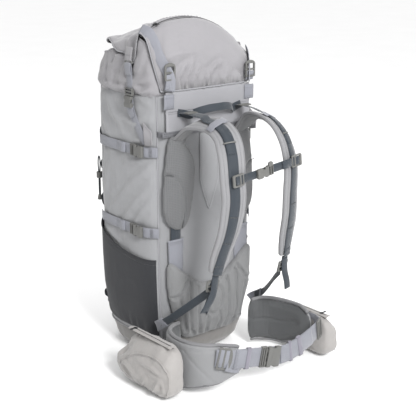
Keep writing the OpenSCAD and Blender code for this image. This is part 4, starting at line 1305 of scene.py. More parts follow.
def compression_straps():
    """Side straps: webbing from the front, buckle, folded tail, and webbing to the back seam."""
    straps, stitches, sockets, tails = [], [], [], []
    x = 165.5 + WEB_Z
    for row, (z, y) in zip(("upper", "lower"), STRAP_ROWS):
        for name, side in SIDES:
            front = [[x - 16, 106, z], [x - 9, 92, z], [x - 3, 62, z], [x, 30, z], [x, -18, z]]
            run = np.vstack([smooth(front, 4), [[x, y + 3, z]]])
            rear = smooth([[x, y - 4, z], [x, y - 26, z], [x - 4, -112, z], [x - 18, -130, z],
                           [x - 21, -133, z]], 4)
            for path in (run, rear):
                straps.append(ribbon(mirrored(path, side) / 1000, (0, 0, 1), 0.025))
            fold = [[x + 2.0, y + 42, z], [x + 5.4, y + 48, z], [x + 5.0, y + 58, z], [x + 1.8, y + 66, z],
                    [x + 1.2, y + 76, z]]
            tails.append(ribbon(mirrored(smooth(fold, 5), side) / 1000, (0, 0, 1), 0.025))
            for edge in (-1, 1):
                line = mirrored(smooth(front, 4) + [0.9, 0, edge * 10.5], side) / 1000
                stitches.append(dashes(line[:9], (side, 0, 0)))
            for k in range(6):
                at = -118 - k * 1.2
                bar = mirrored([[x - 5.4 - k * 0.9, at, z - 11], [x - 5.4 - k * 0.9, at, z + 11]],
                               side) / 1000
                stitches.append(dashes(bar, (side, -0.3, 0), length=0.002, gap=0.0006))
            m = side_matrix(side, y, z)
            sockets.append(moved(socket_shape(w=25, length=32, depth=ARM_L), m))
            plug = moved(plug_shape(w=25, depth=ARM_L), m)
            piece(f"plug_{row}_{name}_hardware", plug, HARDWARE, f"plug_{row}_{name}",
                  [f"plug_{row}_{name}"])
    piece("compression_webbing_run", merged(straps + tails), LILAC, nodes=["compression_webbing"])
    piece("compression_stitching", merged(stitches), THREAD)
    piece("compression_sockets_hardware", merged(sockets), HARDWARE, nodes=["compression_sockets"])


# ---------------------------------------------------------------- back system

BACK_Y = -146.3


def edge_round(gap, radius):
    """Height share of a rounded edge at a distance from it."""
    t = 1 - np.clip(gap / radius, 0, 1)
    return np.sqrt(np.maximum(0, 1 - t * t))


def back_pad(x_low, x_high, z_low, z_high, depth, rows, cols, radius):
    """Closed pad on the back between two edge curves; z runs in rows, x in columns, in mm.
    x_low and x_high are functions of z. Returns front and back grids in metres."""
    z = np.linspace(z_low, z_high, rows)[:, None]
    f = (0.5 - 0.5 * np.cos(np.linspace(0, np.pi, cols)))[None]
    left, right = x_low(z), x_high(z)
    x = left + (right - left) * f
    gap = np.minimum(np.minimum(x - left, right - x), np.minimum(z - z_low, z_high - z))
    lift = depth * edge_round(gap, radius)
    zz = np.broadcast_to(z, x.shape)
    front = np.stack([x, BACK_Y - 0.4 - lift, zz], axis=-1)
    behind = np.stack([x, np.full_like(x, BACK_Y - 0.3), zz], axis=-1)
    return front / 1000, behind / 1000


def yoke():
    """Padded block at the top of the back, with seams and a stitched band under it."""
    front, behind = back_pad(lambda z: -132 + 0 * z, lambda z: 132 + 0 * z, 603, 704, depth=4.4, rows=44,
                             cols=90, radius=7)
    step = 0.0016 * np.exp(-(((front[..., 2] - 0.6545) / 0.0022) ** 2))
    rough = crumple(front, size=0.05, seed=61) * 0.0008
    front[..., 1] += step - rough
    piece("yoke_cloth", pillow(front, behind), YOKECLOTH, nodes=["yoke_panel"])
    parts = []
    for z in (600.5, 606.5):
        row = mm([[-141, -151.9, z], [141, -151.9, z]])
        parts.append(dashes(row, (0, -1, 0), length=0.004, gap=0.0012, size=0.0012))
    for z in (652, 657):
        parts.append(dashes(mm([[-128, -151.3, z], [128, -151.3, z]]), (0, -1, 0)))
    piece("yoke_stitching", merged(parts), DARK_THREAD)
    band = smooth([[-146, -131, 603.5], [-143, -140, 603.5], [-136, -149, 603.5], [-125, -151.4, 603.5],
                   [125, -151.4, 603.5], [136, -149, 603.5], [143, -140, 603.5], [146, -131, 603.5]], 6)
    piece("yoke_band", ribbon(band / 1000, (0, 0, 1), 0.013, thickness=0.001), BAND)


PAD_OUTER = [[360, 97], [364, 112], [374, 128], [395, 141], [430, 146], [480, 144], [530, 139], [570, 133],
             [592, 127], [602, 116]]
PAD_INNER = [[360, 92], [364, 82], [374, 70], [395, 60], [430, 53], [480, 46], [515, 45], [545, 54],
             [575, 76], [592, 96], [602, 112]]
PAD_LOBE = [[142, -160, 508], [118, -161, 500], [98, -161, 474], [88, -161, 436], [88, -161, 400],
            [94, -160, 366]]
PAD_LOW = 360
PAD_HIGH = 602


def sewn_behind(points):
    """1 where a pad meets the back panel, and 0 a little in front of it."""
    return ease(points[:, 1], -0.1485, -0.1468)


def torso_pad(name, side):
    """Padded panel on one side of the back, with a curved channel in its foam."""
    def inner(z):
        return soft_lookup(z, PAD_INNER)

    def outer(z):
        return soft_lookup(z, PAD_OUTER)

    edges = (inner, outer) if side > 0 else (lambda z: -outer(z), lambda z: -inner(z))
    front, behind = back_pad(*edges, PAD_LOW, PAD_HIGH, depth=13.5, rows=70, cols=34, radius=20)
    obj = new_object(name + "_foam", pillow(front, behind))
    inflate(obj, voxel=0.0045, pressure=3.5, cap=0.004, hold=sewn_behind)
    lobe = smooth(mirrored(PAD_LOBE, side), 6) / 1000
    press_line(obj, lobe, depth=0.0042, width=0.0028, raised=0.0012)
    rim = smooth([[side * inner(z), 0, z] for z in np.linspace(362, 600, 14)], 3)
    flat = [[p[0] + side * 7, -152.5, p[2]] for p in rim]
    press_line(obj, mm(flat), depth=0.0018, width=0.0022, raised=0.0)
    refine(obj)
    finish_piece(obj, MESH[0], "pack", [name])
    piece(name + "_piping", tube(lobe + [0, 0.0012, 0], 0.0009, count=6), (DARK_THREAD[0], "mesh"))


TORSO_WEB_X = 106
SLEEVE_ROWS = ((337, 2.9, 25), (334, 3.3, 25), (331, 2.9, 24), (329, 2.2, 23.5), (322, 2.4, 23.5),
               (300, 2.4, 23), (286, 2.0, 22.5), (262, 1.8, 22), (236, 1.6, 21))


def back_extras():
    """Centre flap, the webbing that leaves the torso pads, and the sleeves it runs into."""
    outline = [(-30, 596), (30, 596), (30, 474), (24, 452), (4, 399), (0, 396), (-4, 399), (-24, 452),
               (-30, 474)]
    flap = moved(moulding([outline], 0.4, 4.6, 1.6),
                 axes_matrix((0, BACK_Y, 0), (1, 0, 0), (0, 0, 1), (0, -1, 0)))
    piece("centre_flap_cloth", flap, PACKCLOTH, nodes=["centre_flap"])
    inner = [(-26, 590), (-26, 475), (-1, 404), (26, 475), (26, 590)]
    line = mm([[x, BACK_Y - 4.8, z] for x, z in inner])
    piece("centre_flap_stitching", dashes(line, (0, -1, 0)), THREAD)
    webs, sleeves, stitches = [], [], []
    for _, side in SIDES:
        x = side * TORSO_WEB_X
        path = mm([[x, BACK_Y - 1.4, 372], [x, BACK_Y - 1.4, 330]])
        webs.append(ribbon(path, (1, 0, 0), 0.030))
        rows = []
        for z, out, half in SLEEVE_ROWS:
            f = np.linspace(-1, 1, 13)
            lift = out * (0.75 + 0.25 * (1 - f ** 4))
            rows.append(np.stack([x + half * f, BACK_Y - 0.2 - lift, np.full(13, z)], axis=1))
        sleeves.append(grid(np.array(rows)[::-1] / 1000))
        for z in (330, 325):
            stitches.append(dashes(mm([[x - 22, BACK_Y - 2.9, z], [x + 22, BACK_Y - 2.9, z]]), (0, -1, 0)))
        for s in (-1, 1):
            line = mm([[x + s * 21, BACK_Y - 2.4, 322], [x + s * 20, BACK_Y - 2.0, 240]])
            stitches.append(dashes(line, (0, -1, 0)))
    piece("torso_webbing_run", merged(webs), NAVY, nodes=["torso_webbing"])
    piece("torso_sleeve_cloth", merged(sleeves), LILAC, nodes=["torso_sleeves"],
          thick=0.0012)
    piece("torso_sleeve_stitching", merged(stitches), THREAD)


LUMBAR_TOP = [[0, 206], [14, 206], [30, 211], [58, 228], [84, 247], [106, 267], [124, 281], [131, 280],
              [137, 262]]
LUMBAR_HALF = 137
LUMBAR_LOW = [[0, 64], [60, 65], [84, 68], [98, 84], [110, 118], [122, 152], [131, 190], [137, 232]]


LUMBAR_OVAL = [[0, -172, 120], [19, -172, 132], [27, -172, 160], [25, -172, 186], [0, -172, 198],
               [-25, -172, 186], [-27, -172, 160], [-19, -172, 132]]
LUMBAR_CHANNELS = [
    [[20, -172, 122], [22, -172, 96], [19, -170, 66]],
    [[44, -172, 214], [49, -172, 170], [50, -172, 120], [42, -170, 66]],
    [[72, -172, 232], [77, -172, 180], [76, -172, 120], [66, -170, 68]],
    [[78, -170, 240], [96, -172, 214], [112, -172, 196], [130, -164, 190]],
    [[112, -172, 196], [102, -172, 150], [92, -170, 92]],
]


def lumbar():
    """Lumbar pad: a wide cushion with a dip in its upper edge, sewn channels and an oval bump."""
    rows, cols = 56, 110
    x = LUMBAR_HALF * np.sin(np.linspace(-np.pi / 2, np.pi / 2, cols))[None]
    top, low = lookup(np.abs(x), LUMBAR_TOP), lookup(np.abs(x), LUMBAR_LOW)
    share = (0.5 - 0.5 * np.cos(np.linspace(0, np.pi, rows)))[:, None]
    z = low + (top - low) * share
    gap = np.minimum(np.minimum(z - low, top - z), np.broadcast_to(LUMBAR_HALF - np.abs(x), z.shape) * 1.2)
    lift = 18.5 * edge_round(gap, 24)
    xx = np.broadcast_to(x, z.shape)
    front = np.stack([xx, BACK_Y - 0.4 - lift, z], axis=-1) / 1000
    behind = np.stack([xx, np.full(z.shape, BACK_Y - 0.3), z], axis=-1) / 1000
    obj = new_object("lumbar_cushion", pillow(front, behind))
    inflate(obj, voxel=0.0042, pressure=4.0, cap=0.005, hold=sewn_behind)
    oval = closed_smooth(LUMBAR_OVAL, 6) / 1000
    press_line(obj, np.vstack([oval, oval[:1]]), depth=0.0062, width=0.0034, raised=0.0020)
    lines = [smooth(mirrored(line, side), 6) / 1000 for side in (-1, 1) for line in LUMBAR_CHANNELS]
    for line in lines:
        press_line(obj, line, depth=0.0060, width=0.0034, raised=0.0018)
    refine(obj)
    finish_piece(obj, LUMBAR[0], "pack", ["lumbar_pad"])
    threads = [sewn_line(obj, line, lift=0.0004) for line in lines]
    piece("lumbar_stitching", merged(threads), (THREAD[0], "mesh"))


def haul_loop():
    path = smooth([[-60, -165, 650], [-56, -168, 652], [-44, -176, 657], [-20, -183, 661], [0, -184, 661],
                   [20, -183, 661], [44, -176, 657], [56, -168, 652], [60, -165, 650]], 6)
    loop = ribbon(path / 1000, (0, 0.35, 1), 0.019, thickness=0.0026)
    piece("haul_webbing", loop, NAVY, "haul_loop", ["haul_loop"])
    ends, stitches = [], []
    for _, side in SIDES:
        run = [[side * 63.5, -160.4, 646.6], [side * 69, -156, 645], [side * 84, -152.6, 650],
               [side * 100, -152.4, 654]]
        ends.append(ribbon(smooth(run, 5) / 1000, (0, 0.25, 1), 0.019, thickness=0.0024))
        for k in range(5):
            at = side * (88 + k * 2)
            row = mm([[at, -154.2, 643], [at, -154.2, 660]])
            stitches.append(dashes(row, (0, -1, 0), length=0.002, gap=0.0006))
    piece("haul_roots", merged(ends), NAVY)
    piece("haul_stitching", merged(stitches), DARK_THREAD)


# ---------------------------------------------------------------- shoulder harness

STRAP_PATH = [[97, -165, 600], [90, -205, 630], [80, -257, 637], [80, -304, 620], [87, -332, 580],
              [92, -344, 526], [90, -346, 470], [96, -338, 405], [105, -320, 345], [112, -306, 292]]
STRAP_SHARES = [[0, 0.62], [0.15, 0.85], [0.4, 1], [0.7, 0.95], [0.93, 0.8], [1, 0.6]]
RING_TURNS = np.linspace(0, 2 * np.pi, 29)[:-1]
STRAP_W = 61
STRAP_T = 13


def strap_line(side):
    return smooth(mirrored(STRAP_PATH, side), 8)


def strap_across(side):
    """Width direction of a shoulder strap: it turns to the neck in front and falls outwards above."""
    return np.array([1, 0.3 * side, -0.4 * side])


def strap_frames(path, side):
    along = headings(path)
    across = strap_across(side)
    wide = unit(across - along * (along @ across)[:, None])
    return wide, np.cross(along, wide)


def off_strap(path, side, distance):
    """Path moved off the outer face of a shoulder strap, in mm."""
    return path + strap_frames(path, side)[1] * distance


def shoulder_strap(name, side):
    """Padded strap: crowned outer face of cloth, air mesh inside, sewn edges with a wide binding."""
    root = mirrored([[101, -152.5, 582], [99, -155, 590]], side)
    path = evenly(np.vstack([root, strap_line(side)]), 5)
    share = lengths(path) / lengths(path)[-1]
    width = STRAP_W * lookup(share, STRAP_SHARES)
    count = 36
    shape_x, shape_y = superellipse(count, wide_power=0.62, out_power=0.80)
    profile = np.empty((len(path), count, 2))
    profile[..., 0] = width[:, None] / 2 * shape_x
    groove = 1.6 * np.exp(-(((np.abs(profile[..., 0]) - (width[:, None] / 2 - 9)) / 1.6) ** 2))
    face = np.sign(np.sin(np.arange(count) * 2 * np.pi / count))
    profile[..., 1] = STRAP_T / 2 * shape_y - face * groove
    spots = [profile[..., 0], share[:, None] * 700 + 0 * profile[..., 0], 0 * profile[..., 0]]
    profile[..., 1] += 0.6 * value_noise(np.stack(spots, axis=-1), size=26, seed=71) * face
    taper = edge_round((1 - share) * lengths(path)[-1], 9)
    profile *= (0.35 + 0.65 * taper)[:, None, None]
    obj = new_object(name + "_foam", sweep(path / 1000, strap_across(side), profile / 1000))
    inside = [k for k in range(count) if shape_y[k] + shape_y[(k + 1) % count] < 0]
    index = np.zeros(len(obj.data.polygons), np.int32)
    for i in range(len(path) - 1):
        for k in inside:
            index[i * count + k] = 1
    finish_piece(obj, [STRAPCLOTH[0], MESH[0]], "pack", [name])
    obj.data.polygons.foreach_set("material_index", index)
    parts, rows = [], []
    wide, out = strap_frames(path, side)
    keep = slice(1, len(path) - 2)
    lip = np.stack([circle(2.2, 12)[:, 0], circle(3.4, 12)[:, 1]], axis=1) / 1000
    for edge in (-1, 1):
        rim = path + wide * (edge * width[:, None] / 2 * 0.985)
        parts.append(sweep(rim[keep] / 1000, wide[keep], lip))
        seam = path + wide * (edge * (width[:, None] / 2 - 9)) + out * (STRAP_T / 2 - 0.9)
        rows.append(dashes(seam[keep] / 1000, out[keep]))
    piece(name + "_binding", merged(parts), BINDING)
    piece(name + "_stitching", merged(rows), (THREAD[0], "strapcloth"))


def strap_trim():
    """Webbing along the straps with its sewn folds, the plain label, elastic rings and the load lifters."""
    runs, stitches, rings, labels, lifts = [], [], [], [], []
    for _, side in SIDES:
        path = strap_line(side)
        outer = off_strap(path, side, STRAP_T / 2 + 1.9)
        wide, out = strap_frames(path, side)
        ribs = np.zeros(len(path))
        ribs[-4:-1] = [1.6, 0, 1.6]
        run = (outer + out * ribs[:, None])[16:]
        runs.append(ribbon(run / 1000, wide[16:], 0.025))
        for index in (24, 52, 60, 68, 70):
            center, w, o = outer[index], wide[index], out[index]
            for k in (-1.6, -0.4, 0.8):
                along = headings(outer)[index] * k
                line = np.array([center + along - w * 11, center + along + w * 11]) + o * 1.0
                stitches.append(dashes(line / 1000, o, length=0.0016, gap=0.0004, size=0.0008))
        lifted = off_strap(path, side, STRAP_T / 2 + 4.0)
        root = [[side * 88, -153.4, 652], [side * 87, -164, 653], [side * 84, -200, 654],
                [side * 81, -230, 653]]
        lifter = np.vstack([smooth(root, 5)[:-1], lifted[14:34:3]])
        turned = np.linspace(0, 1, len(lifter))[:, None]
        across = np.array([1.0, 0, 0]) * (1 - turned) + wide[20] * turned
        lifts.append(ribbon(lifter / 1000, across, 0.0215))
        c, w, o = lifted[28], wide[28], out[28]
        loop = [c + w * 14 * math.cos(t) + o * (2.6 * math.sin(t) - 0.2) for t in RING_TURNS]
        rings.append(ring(np.array(loop) / 1000, 0.0017))
        patch = off_strap(path, side, STRAP_T / 2 + 2.2)
        labels.append(sweep(evenly(patch[17:21] / 1000, 0.004), wide[19],
                            arched(width=0.052, flat=0.025, rise=0.0042, thickness=0.0012)))
    piece("strap_webbing_run", merged(runs), NAVY, nodes=["strap_webbing"])
    piece("load_lifter_webbing", merged(lifts), NAVY, nodes=["load_lifters"])
    piece("strap_bartacks", merged(stitches), DARK_THREAD)
    piece("strap_rings_hardware", merged(rings), HARDWARE)
    piece("strap_labels", merged(labels), LILAC)


def adjusters():
    parts = []
    for _, side in SIDES:
        place = place_matrix(side * 85.5, -184, 656.6, rx=-1.5)
        parts.append(moved(link_shape(w=30, length=18, thick=3, bar=3), place))
        place = place_matrix(side * 114.5, -299, 261, rx=104, rz=side * 8)
        parts.append(moved(link_shape(w=34, length=30, thick=5, bar=4.5), place))
    piece("harness_adjusters_hardware", merged(parts), HARDWARE, nodes=["harness_adjusters"])


LOWER_PATH = [[117, -289, 242], [125, -262, 218], [146, -216, 176], [160, -178, 144], [162, -146, 126]]
LOWER_TAILS = {
    1: [[113, -309, 284], [114.5, -307, 262], [117, -306, 244], [121, -309, 222], [125, -308, 200]],
    -1: [[113, -309, 284], [115, -307, 262], [119, -308, 246], [131, -311, 230], [145, -310, 212],
         [149, -307, 204], [143, -304, 202], [133, -303, 216], [124, -302, 232]],
}


def lower_webbing():
    """Webbing from each lower adjuster to the foot of the side seam, its tail, and the sewn tabs."""
    runs, tabs, stitches = [], [], []
    for _, side in SIDES:
        run = smooth(mirrored(LOWER_PATH, side), 6)
        runs.append(ribbon(run / 1000, (0.35 * side, 0, 1), 0.020))
        through = [[113, -309, 290], [113.5, -306, 276], [114.5, -298, 262], [115.5, -293, 252],
                   [117, -289, 242]]
        runs.append(ribbon(smooth(mirrored(through, side), 5) / 1000, (1, 0, 0.1 * side), 0.020))
        tail = smooth(mirrored(LOWER_TAILS[side], side), 5)
        runs.append(ribbon(tail / 1000, (1, 0, 0.12 * side), 0.0195, thickness=0.0015))
        end = smooth(mirrored([[160.5, -172, 140], [163, -154, 128], [160, -138, 118], [156, -133, 112]],
                              side), 5)
        tabs.append(ribbon(end / 1000, (0.3 * side, 0, 1), 0.026, thickness=0.0022))
        for k in range(4):
            p = np.array([side * (162 - 0.4 * k), -163 + 2 * k, 135 - 1.6 * k])
            line = np.array([p + [0, -2, 9], p + [0, 3, -9]])
            row = (line + [side * 1.6, 0, 0]) / 1000
            stitches.append(dashes(row, (side, 0, 0), length=0.002, gap=0.0006))
    piece("lower_webbing_run", merged(runs), NAVY, nodes=["lower_webbing"])
    piece("lower_webbing_tabs", merged(tabs), LILAC)
    piece("lower_webbing_stitching", merged(stitches), DARK_THREAD)


STERNUM_MIDDLE = (0, -363, 537)
STERNUM_ALONG = unit(np.array([184.0, 0, 20.0]))
STERNUM_UP = np.array([-STERNUM_ALONG[2], 0, STERNUM_ALONG[0]])
STERNUM_MOUTH = -6


def sternum_matrix(x, flip=False):
    """Frame of the sternum strap: X along it to the wearer's left, Z away from the chest."""
    origin = np.array(STERNUM_MIDDLE) + STERNUM_ALONG * x + np.array([0, WEB_Z, 0])
    if flip:
        return axes_matrix(origin, -STERNUM_ALONG, -STERNUM_UP, (0, -1, 0))
    return axes_matrix(origin, STERNUM_ALONG, STERNUM_UP, (0, -1, 0))


def sternum_strap():
    webs, sliders, stitches = [], [], []
    z = WEB_Z
    right = smooth([[-100, 0, z + 1.2], [-93, 0, z + 1.0], [-84, 0, z], [-60, 0, z], [-10, 0, z]], 5)
    left = smooth([[-2, 0, z], [40, 0, z], [84, 0, z], [93, 0, z + 1.0], [100, 0, z + 1.2]], 5)
    for run in (right, left):
        webs.append(moved(ribbon(run / 1000, (0, 1, 0), 0.020), sternum_matrix(0)))
    tail = smooth([[44, 0, z + 1.9], [50, 0, z + 4.0], [58, 0, z + 4.2], [66, 0, z + 2.1],
                   [73, 0, z + 1.9]], 5)
    webs.append(moved(ribbon(tail / 1000, (0, 1, 0), 0.0195), sternum_matrix(0)))
    for s in (-1, 1):
        frame_out = rounded(0, 0, 32, 30, 4)
        slot = rounded(-s * 10.2, 0, 4.6, 22, 1.6)
        window = rounded(s * 3, 0, 13.5, 21.5, 2)
        body = moulding([frame_out, slot, window], z - 2.5, z + 2.5, 1.2)
        sliders.append(moved(body, sternum_matrix(s * 92)))
        for k in range(4):
            at = s * (70 - 2 * k)
            line = mm([[at, -8.5, z + 1.0], [at, 8.5, z + 1.0]])
            stitches.append(moved(dashes(line, (0, 0, 1), length=0.0018, gap=0.0005), sternum_matrix(0)))
    piece("sternum_webbing_run", merged(webs), NAVY, nodes=["sternum_webbing"])
    piece("sternum_sliders_hardware", merged(sliders), HARDWARE, nodes=["sternum_sliders"])
    piece("sternum_stitching", merged(stitches), DARK_THREAD)
    m = sternum_matrix(STERNUM_MOUTH, flip=True)
    piece("sternum_socket_hardware", moved(socket_shape(w=20, length=32, depth=ARM_L), m), HARDWARE,
          nodes=["sternum_socket"])
    barrel = moulding([rounded(-12, -15.2, 14, 8.5, 3)], ARM_Z - 2, ARM_Z + 3, 1.6)
    mouth = moulding([rounded(-12, -19.2, 7, 2.4, 1)], ARM_Z - 1, ARM_Z + 2, 0.6)
    plug = merged([plug_shape(w=20, depth=ARM_L), barrel, mouth])
    piece("sternum_plug_hardware", moved(plug, m), HARDWARE, "sternum_plug", ["sternum_plug"])


# ---------------------------------------------------------------- hip belt

BELT_LOW = 5
BELT_HIGH = 134
WING_T = 15
WING_RISE = [[0, 0], [0.5, 0], [1, 18]]
WING_SHARES = [[0, 0.92], [0.2, 1], [0.5, 1], [0.8, 0.82], [1, 0.5]]
WINGS = {
    "left": [[112, -176], [140, -181], [166, -202], [181, -240], [188, -285], [186, -332]],
    "right": [[-112, -176], [-144, -184], [-174, -208], [-190, -252], [-184, -302], [-156, -341],
              [-118, -361], [-82, -369]],
}


def wing_path(plan):
    mid = (BELT_LOW + BELT_HIGH) / 2 + 4
    line = evenly(smooth([[x, y, mid] for x, y in plan], 8), 5)
    line[:, 2] += lookup(lengths(line) / lengths(line)[-1], WING_RISE)
    return line


def hip_wing(name):
    """Padded wing: outer cloth, an inner lining of air mesh with channels, darkened with painted shade, and
    a thick rolled upper edge.
    """
    path = evenly(wing_path(WINGS[name]), 5)
    share = lengths(path) / lengths(path)[-1]
    height = (BELT_HIGH - BELT_LOW - 8) * lookup(share, WING_SHARES)
    count = 44
    shape_x, shape_y = superellipse(count, wide_power=0.5, out_power=0.72)
    profile = np.empty((len(path), count, 2))
    profile[..., 0] = height[:, None] / 2 * shape_x
    profile[..., 1] = WING_T / 2 * shape_y
    tip = edge_round((1 - share) * lengths(path)[-1], 22)
    root = edge_round(share * lengths(path)[-1], 10)
    profile[..., 0] *= (0.55 + 0.45 * tip * root)[:, None]
    profile[..., 1] *= (0.5 + 0.5 * tip * root)[:, None]
    made = sweep(path / 1000, (0, 0, 1), profile / 1000)
    obj = new_object(f"hip_wing_{name}_foam", made)
    inflate(obj, voxel=0.005, pressure=4.0, cap=0.0045)
    along = headings(path)
    normal = np.cross(along, (0, 0, 1))
    outward = np.sign((normal * (path - [0, -260, 0])).sum(1).mean())
    normal = normal * outward

    def on_face(points, offset):
        """Points given as (share, height over the middle in mm) on the outer (+) or inner (-) face."""
        out = []
        for at, up in points:
            k = int(round(at * (len(path) - 1)))
            out.append(path[k] + normal[k] * offset + [0, 0, up])
        return np.array(out) / 1000

    inner = -WING_T / 2
    channel = on_face([(t, 4) for t in np.linspace(0.06, 0.82, 24)], inner)
    press_line(obj, channel, depth=0.004, width=0.0026, raised=0.001)
    for at in (0.14, 0.2):
        press_line(obj, on_face([(at, u) for u in np.linspace(10, 56, 8)], inner), depth=0.0022, width=0.002)
    channel = on_face([(t, 40) for t in np.linspace(0.05, 0.9, 24)], -inner)
    press_line(obj, channel, depth=0.0016, width=0.0022)
    slant = [(0.52, 38), (0.6, 10), (0.7, -22), (0.76, -44)]
    press_line(obj, on_face(slant, -inner), depth=0.0022, width=0.0024)
    refine(obj)
    finish_piece(obj, [WINGCLOTH[0], LINING_PAINTED_SHADE[0]], "pack", [f"hip_wing_{name}"])
    mesh = obj.data
    centers = np.array([p.center[:] for p in mesh.polygons])
    facing = np.array([p.normal[:] for p in mesh.polygons])
    near = np.argmin(((centers[:, None, :2] * 1000 - path[None, :, :2]) ** 2).sum(-1), axis=1)
    # Faces towards the wearer take the lining material, whose darker colour is partly painted shade.
    inside = (facing * normal[near]).sum(1) < -0.25
    mesh.polygons.foreach_set("material_index", inside.astype(np.int32))
    half = height / 2 * (0.55 + 0.45 * tip * root)
    rolls, stitches = [], []
    for edge, size in ((-1, 3.2), (1, 4.6)):
        rim = path + np.stack([0 * half, 0 * half, edge * (half - 1.0)], axis=1)
        rolls.append(tube(rim[2:-2] / 1000, size / 1000, count=12))
        face = path + normal * (WING_T / 2 - 1.2)
        seam = face + np.stack([0 * half, 0 * half, edge * (half - 11)], axis=1)
        stitches.append(dashes(seam[4:-4] / 1000, normal[4:-4]))
    piece(f"hip_wing_{name}_binding", merged(rolls), BINDING)
    piece(f"hip_wing_{name}_stitching", merged(stitches), (THREAD[0], "mesh"))


POCKETS = {"left": ((199, -376, 6), (248, -214, 112)), "right": ((-270, -318, 6), (-206, -122, 136))}
POUCH_RIM = [[0, 26], [0.08, 9], [0.25, 0], [0.50, 5], [0.74, 24], [0.92, 52], [1, 66]]


def cube_sphere(n):
    """Points and quads of a cube's six faces, each n by n, as points of the unit cube."""
    t = np.linspace(-1, 1, n + 1)
    a, b = np.meshgrid(t, t, indexing="ij")
    one = np.ones_like(a)
    faces_of = [(one, a, b), (-one, b, a), (b, one, a), (a, -one, b), (a, b, one), (b, a, -one)]
    points, quads, base = [], [], 0
    for x, y, z in faces_of:
        points.append(np.stack([x, y, z], axis=-1).reshape(-1, 3))
        quads += [[i + base for i in f] for f in grid_faces(n + 1, n + 1)]
        base += (n + 1) ** 2
    points = np.vstack(points)
    keys = np.round(points, 6)
    _, first, index = np.unique(keys, axis=0, return_index=True, return_inverse=True)
    index = index.reshape(-1)
    return points[first], [[int(index[i]) for i in q] for q in quads]


def pouch_shape(low, high, power):
    """Soft box between two corners in mm, full in the middle."""
    points, faces = cube_sphere(26)
    round_it = points / (np.abs(points) ** power).sum(1, keepdims=True) ** (1 / power)
    low, high = np.array(low, float), np.array(high, float)
    mid, half = (low + high) / 2, (high - low) / 2
    co = mid + round_it * half
    return co, faces, round_it


def hip_pocket(name, side):
    """Zip pocket on a wing: cloth pressed by what is in it, creased at its corners."""
    low, high = POCKETS[name]
    co, faces, share = pouch_shape(low, high, power=4.6)
    size = np.array(high, float) - low
    x, y, z = share.T
    out = ease(x * side, -0.2, 0.8)
    co[:, 0] -= side * out * ease(z, 0.30, 1.0) * 15
    co[:, 1] += ease(y, 0.3, 1.0) * ease(-z, -0.7, 0.3) * (1 - ease(-z, 0.6, 1.0)) * size[1] * 0.10
    co[:, 1] -= ease(y, 0.2, 1.0) * ease(-z, 0.5, 1.0) * size[1] * 0.06
    reach = lookup((co[:, 1] - low[1]) / size[1], POUCH_RIM) * (0.30 + 0.70 * out)
    co[:, 2] -= reach * ease(z, -0.2, 1.0)
    obj = new_object(f"hip_pocket_{name}_cloth", shape(co / 1000, faces))
    inflate(obj, voxel=0.005, pressure=3.0, cap=0.005, bending=0.2)
    co = coordinates(obj.data)
    normal = vertex_normals(obj.data)
    outside = ease(normal[:, 0] * side, -0.2, 0.5)
    x_face, span_y, span_z = (high[0] if side > 0 else low[0]), size[1], size[2]

    def spot(fy, fz):
        return [x_face, low[1] + fy * span_y, low[2] + fz * span_z]

    folds = [
        ([spot(0.60, 0.58), spot(0.30, 0.60), spot(0.07, 0.46)], 5, 6.0),
        ([spot(0.36, 0.44), spot(0.22, 0.42), spot(0.10, 0.42)], 4, 5.0),
        ([spot(0.38, 0.32), spot(0.48, 0.16), spot(0.59, 0.02)], 5, 7.5),
        ([spot(0.15, 0.40), spot(0.22, 0.20), spot(0.34, 0.02)], 5, 8.0),
        ([spot(0.12, 0.36), spot(0.09, 0.20), spot(0.14, 0.04)], 4, 6.0),
        ([spot(0.92, 0.42), spot(0.74, 0.36), spot(0.56, 0.22)], 7, 5.4),
        ([spot(0.96, 0.30), spot(0.82, 0.20), spot(0.72, 0.06)], 6, 5.4),
    ]
    lift = crumple(co * [1, 1.0, 0.8], size=0.05, seed=81) * 0.0046
    lift = lift + crumple(co * [1, 0.7, 1.1], size=0.022, seed=83) * 0.0020
    lift = lift * (0.4 + 0.6 * outside) + fold_height(co, folds) * outside
    set_coordinates(obj.data, co + normal * lift[:, None])
    refine(obj)
    finish_piece(obj, POUCHCLOTH[0], "pack", [f"hip_pocket_{name}"])
    seam = [spot(f, 0.80 - lookup(f, POUCH_RIM) / span_z) for f in (0.98, 0.86, 0.60, 0.30, 0.10)]
    seam = smooth(seam + [spot(-0.02, 0.5), spot(-0.02, 0.2), spot(0.06, 0.02)], 8) / 1000
    piece(f"hip_pocket_{name}_piping", cord_on(obj, seam, 0.0016, 0.0006), POUCHCLOTH)
    row = seam + mm([0, 0, -6])
    piece(f"hip_pocket_{name}_stitching", sewn_line(obj, row), (THREAD[0], "lidcloth"))


def zip_pull():
    """Slider body with a cord loop and a moulded pull: X is the way the pull hangs."""
    body = merged([
        moulding([rounded(0, 0, 8, 10, 2.6)], 0.6, 3.2, 0.9),
        moulding([rounded(0, 0, 4, 5, 1.6)], 2.8, 4.2, 0.6),
    ])
    loop = smooth([[1, 0.8, 3.0], [5, 1.9, 2.6], [9, 1.6, 2.2], [9, -1.6, 2.2], [5, -1.9, 2.6],
                   [1, -0.8, 3.0]], 5)
    cord = tube(loop / 1000, 0.0007, count=6)
    grip = moulding([rounded(12, 0, 9, 5.4, 2.4)], 0.9, 3.7, 1.2)
    return merged([body, cord, grip])


ZIP_TOP = 1.5


